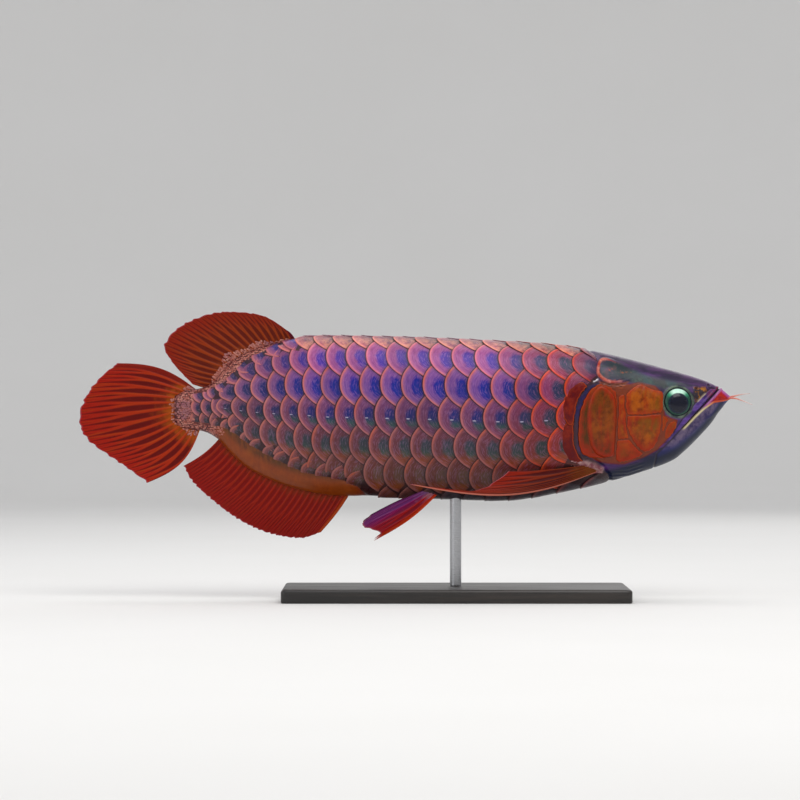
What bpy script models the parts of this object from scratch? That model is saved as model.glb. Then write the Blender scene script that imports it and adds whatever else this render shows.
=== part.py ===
"""Life-size display model of an adult Asian arowana, held by a flat base and one rod.

Metres, +Z up. The origin is the centre of the base's underside, +X points to the snout and -Y to the
fish's right side. The body is described by stations in drawing units of one millimetre: "behind" is
the distance behind the snout tip, "above" is the height over the body axis, which runs through the
middle of the tail root, and "side" is the distance to the fish's right of its midplane.
"""

import math

import bmesh
import bpy
from mathutils import Matrix, Vector

# Driving dimensions, in metres
TOTAL_LENGTH = 0.550  # snout tip to the end of the tail fin
GAP = 0.0003  # between neighbouring pieces
BASE_LENGTH = 0.300
BASE_WIDTH = 0.130
BASE_THICKNESS = 0.012
BASE_BEVEL = 0.003
ROD_RADIUS = 0.005
FIN_CLEARANCE = 0.040  # lowest fin tip over the base's top face
TRUNK_BODY_WIDTH = 0.064  # widest part of the trunk

# The drawing's own length in drawing units, and the size of one unit in metres
DRAWN_LENGTH = 550.0
UNIT = TOTAL_LENGTH / DRAWN_LENGTH
GAP_UNITS = GAP / UNIT

# The base's middle lies under this station, and the lowest fin tip is this far under the axis
ROD_BEHIND = 228.0
LOWEST_FIN = -113.8
AXIS_HEIGHT = BASE_THICKNESS + FIN_CLEARANCE - LOWEST_FIN * UNIT

# Body outline stations: (behind, above) of the back and of the belly
BACK = [
    (-10.3, 10.9), (-4.2, 16.2), (0.0, 19.3), (15.4, 26.0), (52.0, 36.7), (103.1, 49.4),
    (137.3, 54.7), (172.7, 57.5), (252.6, 61.5), (311.0, 63.0), (350.0, 63.4), (366.0, 62.4),
    (385.0, 58.0), (406.7, 50.5), (422.3, 41.5), (432.8, 30.5), (441.0, 21.5), (452.0, 17.5),
    (463.0, 16.0), (472.0, 11.0),
]  # fmt: skip
BELLY = [
    (-10.3, 9.0), (-6.1, 4.3), (-1.7, -0.9), (5.6, -11.8), (15.4, -22.8), (27.5, -35.0),
    (39.8, -44.7), (64.3, -53.9), (88.6, -61.3), (132.1, -71.3), (179.0, -79.1), (233.7, -78.2),
    (276.3, -77.3), (318.0, -75.6), (338.5, -74.6), (365.1, -69.5), (389.1, -61.2), (410.4, -50.0),
    (425.0, -36.5), (434.0, -26.5), (445.0, -20.0), (456.0, -18.0), (465.0, -16.5), (472.0, -11.5),
]  # fmt: skip
# Half the width as a share of the widest trunk's half, and the height of the widest level between
# belly (0) and back (1)
HALF_WIDTH = [
    (-10.3, 0.07), (-4.2, 0.19), (0.0, 0.27), (8.0, 0.385), (15.4, 0.47), (27.5, 0.57), (40.0, 0.635),
    (52.0, 0.69), (76.0, 0.78), (103.0, 0.86), (137.0, 0.94), (172.0, 0.985), (215.0, 1.0),
    (276.0, 0.95), (318.0, 0.85), (345.0, 0.76), (389.0, 0.56), (425.0, 0.40), (452.0, 0.29),
    (472.0, 0.16),
]  # fmt: skip
WAIST = [(-10.3, 0.5), (20.0, 0.52), (60.0, 0.55), (150.0, 0.6), (320.0, 0.58), (440.0, 0.5)]
BACK_SQUARENESS = 2.35
BELLY_SQUARENESS = 1.85
SECTION_STEPS = 48
TURN_STEP = 0.02  # turn on either side of a place over which its normal is taken

# Where the trunk ends and the tail begins, and where the tail root begins
TAIL_BEHIND = 322.0
ROOT_BEHIND = 436.0

# Scales of the body and of the tail root: place of column 0, pitch there and its loss per column,
# first and last column, and each row's turn from the back's midline to the belly's
BODY_SCALES = (98.0, 22.5, 0.5, (-2, 20), (0.0, 0.061, 0.2, 0.36, 0.52, 0.68, 0.84, 1.0))
ROOT_SCALES = (416.0, 11.5, 0.9, (0, 6), (0.0, 0.25, 0.5, 0.75, 1.0))
# How far the rows' ends run ahead on the belly, and how far a scale's rim and its corners stand out
# as shares of the pitch
SCALE_SLANT = 24.0
LATERAL_LINE = 0.52
RIM_LIFT = 0.065
CORNER_LIFT = 0.035

# Head outlines, as (behind, above)
GILL_REAR = [
    (104.3, 22.2), (112.6, 16.9), (117.8, 8.3), (121.7, -2.8), (123.0, -18.2), (122.4, -31.5),
    (119.4, -39.4), (111.2, -42.2),
]  # fmt: skip
GILL = GILL_REAR + [
    (100.8, -42.6), (90.8, -41.2), (90.2, -26.9), (89.2, -13.9), (88.8, 6.1), (89.9, 15.2), (95.6, 19.5),
]  # fmt: skip
HEAD = [(-20.0, -80.0), (-20.0, 70.0), (107.7, 70.0), (107.7, 29.5)] + GILL_REAR + [
    (102.5, -49.8), (97.3, -56.7), (92.1, -80.0),
]  # fmt: skip
MOUTH = [(-2.0, 19.5), (5.2, 11.6), (12.2, 4.3), (20.9, -5.2), (27.8, -12.2), (34.5, -18.4)]
JAW_REST = [(45.2, -30.4), (54.0, -39.0), (57.0, -60.0), (-20.0, -60.0), (-20.0, 30.0)]
GILL_PANEL = [
    (102.5, 18.2), (95.6, 16.0), (92.2, 11.3), (91.9, -18.2), (93.4, -36.4), (102.5, -38.4),
    (109.9, -33.9), (112.6, -9.6), (112.0, 6.1), (108.2, 13.9),
]  # fmt: skip
CHEEK_PLATES = {
    "upper cheek": [
        (80.6, 14.4), (73.0, 19.0), (63.4, 20.2), (52.5, 17.0), (50.4, 6.5), (49.9, -2.4), (80.0, -2.6),
    ],
    "lower cheek": [
        (79.9, -5.6), (50.2, -5.2), (49.6, -18.2), (54.0, -31.3), (63.4, -36.1), (73.0, -30.4),
        (79.1, -21.7),
    ],
    "preopercle": [(86.6, 13.2), (82.6, 12.0), (82.0, -23.3), (86.6, -24.4)],
    "interopercle": [
        (87.4, -27.4), (78.2, -26.3), (73.4, -33.4), (66.8, -38.4), (78.2, -43.8), (87.8, -44.6),
    ],
    "under eye": [(46.9, -13.4), (41.0, -9.9), (37.2, -11.4), (40.2, -17.2), (46.1, -23.5), (47.9, -20.6)],
    "upper jaw": [
        (2.2, 17.6), (7.4, 18.0), (15.4, 10.6), (24.0, 1.6), (32.6, -9.4), (40.2, -20.6), (38.4, -20.8),
        (28.6, -11.2), (21.7, -4.2), (13.0, 5.3), (5.8, 12.6),
    ],
    "nape plate": [
        (105.4, 29.2), (104.6, 38.4), (99.0, 41.6), (88.0, 36.0), (79.0, 27.0), (88.0, 24.4), (102.0, 24.0),
    ],
}  # fmt: skip
LIP = [
    (-8.6, 12.6), (-1.8, 17.6), (4.4, 10.6), (11.4, 3.3), (20.1, -6.2), (27.0, -13.2), (31.4, -17.4),
    (29.2, -18.6), (22.0, -11.2), (13.6, -2.6), (3.0, 6.4), (-4.6, 8.4),
]  # fmt: skip
PLATE_LIFT = 0.8
PANEL_LIFT = 1.5
PLATE_ROOT = -1.6
GILL_THICKNESS = 4.0
HEAD_STATIONS = 22
HEAD_SIDES = 32

# Eye: middle as (behind, above), radius in side view, half thickness, and how far it stands out
EYE = (36.2, 6.3)
EYE_RADIUS = 12.0
EYE_HALF_DEPTH = 7.4
EYE_BULGE = 2.2
NOSTRILS = [(8.6, 20.6), (19.6, 18.0)]
NOSTRIL_RADIUS = 1.3

# Chin barbels: root and tip of the right and the left one, as (behind, side, above)
BARBELS = {
    "barbel_right": [(-8.3, 2.2, 9.6), (-14.5, 4.5, 9.2), (-22.0, 7.5, 6.6), (-29.1, 10.0, 3.6)],
    "barbel_left": [(-8.3, -2.2, 9.8), (-14.5, -4.5, 11.2), (-22.0, -7.5, 12.8), (-29.1, -10.0, 13.4)],
}
BARBEL_RADIUS = 0.95

# Roots and tips of the fins from the first ray on, as (behind, side, above), with the paired fins of
# the right side. The roots lie inside the flesh.
DORSAL_ROOT = [
    (366.0, 0.0, 57.0), (384.0, 0.0, 51.0), (404.0, 0.0, 44.0), (418.0, 0.0, 35.0), (427.0, 0.0, 25.0),
    (434.0, 0.0, 17.0),
]  # fmt: skip
DORSAL_TIP = [
    (371.5, 0.0, 66.4), (391.0, 0.0, 79.4), (406.6, 0.0, 83.6), (434.4, 0.0, 84.4), (457.0, 0.0, 77.9),
    (473.5, 0.0, 67.8), (482.0, 0.0, 54.7), (478.4, 0.0, 46.1), (470.1, 0.0, 35.2), (456.4, 0.0, 21.4),
]  # fmt: skip
ANAL_ROOT = [
    (317.0, 0.0, -69.0), (340.0, 0.0, -68.0), (364.0, 0.0, -62.0), (387.0, 0.0, -53.5), (408.0, 0.0, -41.5),
    (422.0, 0.0, -29.0), (429.0, 0.0, -20.5),
]  # fmt: skip
ANAL_TIP = [
    (345.5, 0.0, -107.5), (362.5, 0.0, -112.6), (391.9, 0.0, -107.9), (418.4, 0.0, -95.3),
    (444.9, 0.0, -74.9), (458.2, 0.0, -61.7), (464.6, 0.0, -49.6),
]  # fmt: skip
CAUDAL_ROOT = [
    (449.0, 0.0, 13.5), (459.0, 0.0, 9.5), (463.0, 0.0, 5.0), (464.5, 0.0, -0.5), (463.0, 0.0, -6.0),
    (459.0, 0.0, -11.0), (449.0, 0.0, -15.0),
]  # fmt: skip
CAUDAL_TIP = [
    (522.9, 0.0, 39.8), (538.7, 0.0, 26.2), (549.1, 0.0, 12.3), (554.6, 0.0, 0.0), (555.4, 0.0, -14.5),
    (548.3, 0.0, -27.1), (533.5, 0.0, -38.4), (518.6, 0.0, -48.4), (496.1, 0.0, -64.3),
]  # fmt: skip
PECTORAL_ROOT = [(102.8, 11.8, -53.2), (105.6, 14.2, -50.8), (110.2, 15.6, -47.9)]
PECTORAL_TIP = [
    (269.0, 66.0, -63.8), (254.0, 60.0, -66.2), (239.0, 54.5, -69.4), (223.0, 49.5, -70.8),
    (209.0, 45.5, -69.0), (196.0, 41.5, -62.4), (184.0, 38.0, -53.5),
]  # fmt: skip
PELVIC_ROOT = [(241.0, 6.5, -71.0), (246.0, 8.0, -70.0), (252.0, 9.5, -69.0)]
PELVIC_TIP = [
    (299.2, 25.0, -113.8), (293.4, 25.0, -107.5), (309.6, 28.0, -100.3), (301.6, 25.0, -92.2),
]  # fmt: skip

RAY_STEPS = 5
WEB_NOTCH = 0.97  # how far out the membrane reaches between two ray tips
RAY_HALF = (1.25, 0.42)  # half thickness at a ray, at the root and at the tip
WEB_HALF = (0.55, 0.27)
EDGE_WAVES = 1.1  # how many times a fin's edge sways from side to side

# Each fin: root and tip curves, its own normal as (behind, side, above), how far the middle of the
# first and of the last ray leaves the straight line as a share of its length, and how far the
# edge sways
FINS = {
    "dorsal_fin": (DORSAL_ROOT, DORSAL_TIP, 20, (0.0, 1.0, 0.0), (-0.06, 0.04), 2.0),
    "anal_fin": (ANAL_ROOT, ANAL_TIP, 27, (0.0, 1.0, 0.0), (0.03, 0.06), -2.5),
    "tail_fin": (CAUDAL_ROOT, CAUDAL_TIP, 15, (0.0, 1.0, 0.0), (-0.11, 0.14), 2.5),
    "pectoral_fin": (PECTORAL_ROOT, PECTORAL_TIP, 7, (-0.16, 0.78, 0.62), (0.11, 0.02), 0.0),
    "pelvic_fin": (PELVIC_ROOT, PELVIC_TIP, 6, (-0.26, 0.96, 0.06), (0.05, -0.02), 0.0),
}

# Cutters reach this far beyond the body, and a plate of one side starts this far off the midplane
CUT_REACH = 90.0
LEAST_MITRE = 0.5  # keeps a sharp corner of a grown outline from running away
PLATE_INNER = 1.0
HEAD_FRONT = -10.3
HEAD_REAR = 150.0
BED_FRONT = -4.0  # the plates' bed and the gill covers' rooms start behind the snout
ROOM_FRONT = 60.0
TRUNK_FRONT = 60.0
STATION_CROWDING = 1.35  # over 1, the head's stations crowd towards the snout
EYE_SEGMENTS, EYE_RINGS = 18, 11
PIT_SEGMENTS, PIT_RINGS = 10, 6
BARBEL_STEPS = 8
BARBEL_TAPER = 0.72  # loss of radius from root to tip, as a share
BARBEL_ROOM = 0.4  # the room for a barbel's root is this much deeper than the root
ROD_TOP = -68.0  # the rod is drawn up to here, inside the belly, and then cut
SHARP_EDGE = math.radians(35)

COLOURS = {
    "scales": ((0.36, 0.20, 0.36), 0.35, 0.4),
    "head": ((0.16, 0.12, 0.20), 0.4, 0.2),
    "gill": ((0.75, 0.26, 0.04), 0.4, 0.1),
    "jaw": ((0.22, 0.18, 0.34), 0.4, 0.2),
    "fin": ((0.55, 0.05, 0.02), 0.5, 0.0),
    "eye": ((0.02, 0.05, 0.05), 0.1, 0.0),
    "barbel": ((0.75, 0.25, 0.16), 0.5, 0.0),
    "stand_base": ((0.03, 0.03, 0.03), 0.4, 0.0),
    "stand_rod": ((0.6, 0.6, 0.6), 0.3, 1.0),
}


def clear_scene():
    for thing in list(bpy.data.objects):
        bpy.data.objects.remove(thing)


def new_collection(name):
    made = bpy.data.collections.new(name)
    bpy.context.scene.collection.children.link(made)
    return made


def new_materials():
    made = {}
    for name, (colour, roughness, metallic) in COLOURS.items():
        material = bpy.data.materials.new(name)
        material.use_nodes = True
        shader = material.node_tree.nodes["Principled BSDF"]
        shader.inputs["Base Color"].default_value = (*colour, 1.0)
        shader.inputs["Roughness"].default_value = roughness
        shader.inputs["Metallic"].default_value = metallic
        made[name] = material
    return made


def smooth(table, place):
    """Value at a place on a smooth curve through (place, value) stations, level beyond its ends."""
    if place <= table[0][0]:
        return table[0][1]
    if place >= table[-1][0]:
        return table[-1][1]
    k = max(i for i in range(len(table) - 1) if table[i][0] <= place)

    def slope(i):
        before, after = table[max(i - 1, 0)], table[min(i + 1, len(table) - 1)]
        return (after[1] - before[1]) / (after[0] - before[0])

    (x0, y0), (x1, y1) = table[k], table[k + 1]
    span = x1 - x0
    t = (place - x0) / span
    rise = (2 * t**3 - 3 * t**2 + 1) * y0 + (3 * t**2 - 2 * t**3) * y1
    return rise + span * ((t**3 - 2 * t**2 + t) * slope(k) + (t**3 - t**2) * slope(k + 1))


def spot(behind, side, above):
    """A place given in drawing units, as a point in metres."""
    return Vector(((ROD_BEHIND - behind) * UNIT, -side * UNIT, AXIS_HEIGHT + above * UNIT))


_sections = {}


def half_section(behind):
    """Points (side, above, length along the skin) from the back's midline to the belly's."""
    key = round(behind, 4)
    if key in _sections:
        return _sections[key]
    top, bottom = smooth(BACK, behind), smooth(BELLY, behind)
    half = smooth(HALF_WIDTH, behind) * TRUNK_BODY_WIDTH / 2 / UNIT
    waist = bottom + (top - bottom) * smooth(WAIST, behind)
    rows = []
    length = 0.0
    for step in range(SECTION_STEPS + 1):
        turn = math.pi * step / SECTION_STEPS
        upper = 2 * step <= SECTION_STEPS
        power = 2 / (BACK_SQUARENESS if upper else BELLY_SQUARENESS)
        reach = top - waist if upper else waist - bottom
        side = half * abs(math.sin(turn)) ** power
        above = waist + math.copysign(abs(math.cos(turn)) ** power, math.cos(turn)) * reach
        if rows:
            length += math.hypot(side - rows[-1][0], above - rows[-1][1])
        rows.append((side, above, length))
    _sections[key] = rows
    return rows


def on_section(behind, turn):
    """(side, above) of the bare skin. turn is 0 on the back, 1 and -1 on the belly, right positive."""
    turn = (turn + 1) % 2 - 1
    rows = half_section(behind)
    wanted = abs(turn) * rows[-1][2]
    k = next(i for i in range(1, len(rows)) if rows[i][2] >= wanted or i == len(rows) - 1)
    a, b = rows[k - 1], rows[k]
    share = (wanted - a[2]) / max(b[2] - a[2], 1e-9)
    return math.copysign(a[0] + (b[0] - a[0]) * share, turn), a[1] + (b[1] - a[1]) * share


def skin(behind, turn, lift=0.0):
    """Point on the skin, moved out by lift along the section's own outward normal."""
    side, above = on_section(behind, turn)
    before, after = on_section(behind, turn - TURN_STEP), on_section(behind, turn + TURN_STEP)
    tangent = Vector((after[0] - before[0], after[1] - before[1])).normalized()
    return spot(behind, side - tangent.y * lift, above + tangent.x * lift)


def side_at(behind, above):
    """How far the bare skin lies from the midplane at a height."""
    rows = half_section(behind)
    for a, b in zip(rows, rows[1:]):
        if b[1] <= above <= a[1]:
            return a[0] + (b[0] - a[0]) * (a[1] - above) / max(a[1] - b[1], 1e-9)
    return 0.0


def closed_mesh(name, points, faces, collection):
    """A mesh object of the faces given, with its normals pointing out."""
    mesh = bpy.data.meshes.new(name)
    mesh.from_pydata(points, [], faces)
    shape = bmesh.new()
    shape.from_mesh(mesh)
    bmesh.ops.recalc_face_normals(shape, faces=shape.faces)
    if shape.calc_volume(signed=True) < 0:
        bmesh.ops.reverse_faces(shape, faces=shape.faces)
    shape.to_mesh(mesh)
    shape.free()
    made = bpy.data.objects.new(name, mesh)
    collection.objects.link(made)
    return made


def smooth_body(name, first, last, lift, collection):
    """The bare body from one station to another, moved out by lift and closed at both ends."""
    points, faces = [], []
    for k in range(HEAD_STATIONS):
        share = k / (HEAD_STATIONS - 1)
        behind = first + (last - first) * share**STATION_CROWDING
        points += [skin(behind, 2 * s / HEAD_SIDES - 1, lift) for s in range(HEAD_SIDES)]
    for k in range(HEAD_STATIONS - 1):
        for s in range(HEAD_SIDES):
            a, b = k * HEAD_SIDES + s, k * HEAD_SIDES + (s + 1) % HEAD_SIDES
            faces.append((a, b, b + HEAD_SIDES, a + HEAD_SIDES))
    for behind, start in ((first - lift, 0), (last, (HEAD_STATIONS - 1) * HEAD_SIDES)):
        above = (smooth(BACK, behind) + smooth(BELLY, behind)) / 2
        points.append(spot(behind, 0.0, above))
        faces += [(start + s, start + (s + 1) % HEAD_SIDES, len(points) - 1) for s in range(HEAD_SIDES)]
    return closed_mesh(name, points, faces, collection)


def row_turn(row_turns, row):
    """The turn of a row, counted from the back's midline down one side and up the other."""
    last = len(row_turns) - 1
    folded = row if row <= last else 2 * last - row
    k = min(int(folded), last - 1)
    turn = row_turns[k] + (row_turns[k + 1] - row_turns[k]) * (folded - k)
    return turn if row <= last else -turn


def scaled_body(name, scales, extra, collection):
    """A closed body tiled with overlapping scales, whose rims point to the tail, grown by extra.

    Columns are counted in sixths of a pitch and rows in thirds of a row, so that every corner of the
    tiling has whole numbers. At a corner three scales meet, on levels 2, 1 and 0 from the outer one.
    """
    first, pitch, loss, (start, end), row_turns = scales
    around = 6 * (len(row_turns) - 1)
    numbers, points, faces = {}, [], []

    def corner(sixths, thirds, level):
        key = (sixths, thirds % around, level)
        if key not in numbers:
            column = sixths / 6
            turn = row_turn(row_turns, thirds % around / 3)
            behind = first + pitch * column - loss * column**2 / 2
            behind += SCALE_SLANT * (LATERAL_LINE - abs(turn)) * pitch / BODY_SCALES[1]
            behind += extra
            lift = (pitch - loss * column) * (0.0, CORNER_LIFT, RIM_LIFT)[level] + extra
            numbers[key] = len(points)
            points.append(skin(behind, turn, lift))
        return numbers[key]

    for row in range(around // 3):
        for column in range(start, end):
            tip = 6 * column + 3 * (row % 2)
            middle = 3 * row
            ring = [corner(tip, middle, 2), corner(tip - 6, middle, 0)]
            low, high = [], []
            for way, side in ((1, high), (-1, low)):
                near, far = (tip - 1, middle + way), (tip - 4, middle + 2 * way)
                side += [corner(*near, 2), corner(*far, 1), corner(tip - 7, middle + way, 0)]
                faces.append((ring[0], side[0], corner(*near, 1), corner(*near, 0), corner(tip, middle, 0)))
                faces.append((side[0], side[1], corner(*far, 0), corner(*near, 1)))
            faces += [(ring[0], *high), (ring[0], high[2], ring[1], low[2]), (ring[0], *reversed(low))]
    shape = bmesh.new()
    made = [shape.verts.new(point) for point in points]
    for face in faces:
        shape.faces.new([made[i] for i in face])
    rims = [e for e in shape.edges if len(e.link_faces) == 1]
    split = sum(v.co.x for v in made) / len(made)
    for front in (True, False):
        rim = [e for e in rims if (e.verts[0].co.x > split) == front]
        corners = {v for e in rim for v in e.verts}
        hub = shape.verts.new(sum((v.co for v in corners), Vector()) / len(corners))
        for edge in rim:
            shape.faces.new((*edge.verts, hub))
    bmesh.ops.recalc_face_normals(shape, faces=shape.faces)
    if shape.calc_volume(signed=True) < 0:
        bmesh.ops.reverse_faces(shape, faces=shape.faces)
    bmesh.ops.triangulate(shape, faces=shape.faces)
    mesh = bpy.data.meshes.new(name)
    shape.to_mesh(mesh)
    shape.free()
    body = bpy.data.objects.new(name, mesh)
    collection.objects.link(body)
    return body


def prism(name, outline, near, far, collection):
    """An outline of (behind, above) corners, as a plate between two distances to the right."""
    count = len(outline)
    points = [spot(x, side, z) for side in (near, far) for x, z in outline]
    faces = [tuple(range(count)), tuple(range(2 * count - 1, count - 1, -1))]
    faces += [(k, (k + 1) % count, count + (k + 1) % count, count + k) for k in range(count)]
    return closed_mesh(name, points, faces, collection)


def grown(outline, by):
    """The closed outline moved out by a distance, or in where that is negative."""
    count = len(outline)
    area = sum(
        outline[k][0] * outline[(k + 1) % count][1] - outline[(k + 1) % count][0] * outline[k][1]
        for k in range(count)
    )
    moved = []
    for k, place in enumerate(outline):
        before = (Vector(place) - Vector(outline[k - 1])).normalized()
        after = (Vector(outline[(k + 1) % count]) - Vector(place)).normalized()
        way = math.copysign(1, area)
        out = Vector((before.y + after.y, -before.x - after.x)).normalized() * way
        reach = by / max(out.dot(Vector((after.y, -after.x)) * way), LEAST_MITRE)
        moved.append(tuple(Vector(place) + out * reach))
    return moved


def combine(target, tool, operation):
    """Applies one Boolean between two closed meshes and removes the tool.

    The exact solver turns the head inside out where its plates and rooms meet, so the manifold
    solver makes every cut: all meshes here are closed, as it needs.
    """
    modifier = target.modifiers.new(operation, "BOOLEAN")
    modifier.operation = operation
    modifier.object = tool
    modifier.solver = "MANIFOLD"
    bpy.context.view_layer.objects.active = target
    bpy.ops.object.modifier_apply(modifier=modifier.name)
    bpy.data.objects.remove(tool)


def copy_of(thing, name, collection):
    made = thing.copy()
    made.data = thing.data.copy()
    made.name = name
    collection.objects.link(made)
    return made


def keep_largest(thing):
    """Drops every loose scrap and sealed hollow, so that one closed surface is left."""
    shape = bmesh.new()
    shape.from_mesh(thing.data)
    bmesh.ops.dissolve_degenerate(shape, edges=shape.edges, dist=1e-7)
    bmesh.ops.triangulate(shape, faces=shape.faces)
    left, islands = set(shape.faces), []
    while left:
        found, edge = set(), [left.pop()]
        while edge:
            face = edge.pop()
            found.add(face)
            near = {f for e in face.edges for f in e.link_faces}
            edge += list(near & left)
            left -= near
        islands.append(found)

    def volume(island):
        corners = ([v.co for v in face.verts] for face in island)
        return abs(sum(a.dot(b.cross(c)) for a, b, c in corners))

    islands.sort(key=volume, reverse=True)
    loose = [face for island in islands[1:] for face in island]
    bmesh.ops.delete(shape, geom=loose, context="FACES")
    shape.to_mesh(thing.data)
    shape.free()


def finish_node(thing, name, material, collection):
    """Names a finished piece, gives it its material and puts it with the parts."""
    keep_largest(thing)
    thing.name = name
    thing.data.name = name
    thing.data.materials.clear()
    thing.data.materials.append(material)
    for held in list(thing.users_collection):
        held.objects.unlink(thing)
    collection.objects.link(thing)
    thing.data.shade_smooth()
    thing.data.set_sharp_from_angle(angle=SHARP_EDGE)
    return thing


def along(points, share):
    """A point on a smooth curve through points, at a share of its length."""
    points = [Vector(p) for p in points]
    places = [0.0]
    for a, b in zip(points, points[1:]):
        places.append(places[-1] + (b - a).length)
    tables = [[(place, p[k]) for place, p in zip(places, points)] for k in range(3)]
    return Vector([smooth(table, share * places[-1]) for table in tables])


def fin_middle(roots, tips, rays, facing, bow, wave):
    """Places (behind, side, above) down the middle of a fin: lines of places along and between its rays."""
    last = 2 * rays - 2
    middle = []
    for line in range(last + 1):
        share = line / last
        root, tip = along(roots, share), along(tips, share)
        if line % 2:
            tip = root + (tip - root) * WEB_NOTCH
        bend = facing.cross(tip - root) * (bow[0] + (bow[1] - bow[0]) * share)
        sway = facing * wave * math.sin(2 * math.pi * EDGE_WAVES * share)
        outs = [step / RAY_STEPS for step in range(RAY_STEPS + 1)]
        middle.append([root + (tip - root) * t + bend * math.sin(math.pi * t) + sway * t**2 for t in outs])
    return middle


def ridged_fin(name, drawn, way, collection):
    """A closed fin membrane with a raised ridge along each ray.

    Its thickness lies along the membrane's own normals and both faces are split into triangles
    alike, so that they don't cross. way is 1 for a fin as drawn and -1 for its mirror image.
    """
    roots, tips, rays, facing, bow, wave = drawn
    facing = Vector(facing).normalized()
    middle = fin_middle(roots, tips, rays, facing, bow, wave)
    last = len(middle) - 1
    rows = [[], []]
    for line in range(last + 1):
        start, end = (WEB_HALF, RAY_HALF)[line % 2 == 0]
        for step in range(RAY_STEPS + 1):
            across = middle[min(line + 1, last)][step] - middle[max(line - 1, 0)][step]
            out = middle[line][min(step + 1, RAY_STEPS)] - middle[line][max(step - 1, 0)]
            normal = across.cross(out).normalized()
            if normal.dot(facing) < 0:
                normal.negate()
            half = start + (end - start) * step / RAY_STEPS
            for face, row in zip((1, -1), rows):
                at = middle[line][step] + normal * half * face
                row.append(spot(at.x, at.y * way, at.z))
    points = rows[0] + rows[1]
    per_line, half_count = RAY_STEPS + 1, len(rows[0])
    faces = []
    for line in range(last):
        for step in range(RAY_STEPS):
            a, b = line * per_line + step, (line + 1) * per_line + step
            for p, q, r in ((a, b, b + 1), (a, b + 1, a + 1)):
                faces.append((p, q, r))
                faces.append((r + half_count, q + half_count, p + half_count))
    rim = [line * per_line for line in range(last + 1)]
    rim += [last * per_line + step for step in range(1, per_line)]
    rim += [line * per_line + RAY_STEPS for line in range(last - 1, -1, -1)]
    rim += list(range(RAY_STEPS - 1, 0, -1))
    for a, b in zip(rim, rim[1:] + rim[:1]):
        faces.append((a, b, b + half_count))
        faces.append((a, b + half_count, a + half_count))
    return closed_mesh(name, points, faces, collection)


def ball(name, place, radii, collection, segments, rings):
    """An ellipsoid with its radii along, across and up the body."""
    shape = bmesh.new()
    bmesh.ops.create_uvsphere(shape, u_segments=segments, v_segments=rings, radius=1.0)
    bmesh.ops.rotate(shape, verts=shape.verts, cent=(0, 0, 0), matrix=Matrix.Rotation(math.pi / 2, 3, "X"))
    bmesh.ops.scale(shape, vec=Vector(radii) * UNIT, verts=shape.verts)
    bmesh.ops.translate(shape, vec=spot(*place), verts=shape.verts)
    mesh = bpy.data.meshes.new(name)
    shape.to_mesh(mesh)
    shape.free()
    made = bpy.data.objects.new(name, mesh)
    collection.objects.link(made)
    return made


def tapered_tube(name, places, radius, collection):
    """A barbel: a round tube through (behind, side, above) places, thinner towards its tip."""
    curve = bpy.data.curves.new(name, "CURVE")
    curve.dimensions = "3D"
    curve.bevel_depth = radius * UNIT
    curve.bevel_resolution = 2
    curve.use_fill_caps = True
    line = curve.splines.new("POLY")
    line.points.add(BARBEL_STEPS)
    for k in range(BARBEL_STEPS + 1):
        share = k / BARBEL_STEPS
        line.points[k].co = (*spot(*along(places, share)), 1.0)
        line.points[k].radius = 1.0 - BARBEL_TAPER * share
    holder = bpy.data.objects.new(name + " curve", curve)
    collection.objects.link(holder)
    bpy.context.view_layer.update()
    mesh = bpy.data.meshes.new_from_object(holder.evaluated_get(bpy.context.evaluated_depsgraph_get()))
    shape = bmesh.new()
    shape.from_mesh(mesh)
    bmesh.ops.remove_doubles(shape, verts=shape.verts, dist=1e-6)
    shape.to_mesh(mesh)
    shape.free()
    made = bpy.data.objects.new(name, mesh)
    made.matrix_world = holder.matrix_world
    collection.objects.link(made)
    bpy.data.objects.remove(holder)
    return made


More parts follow.
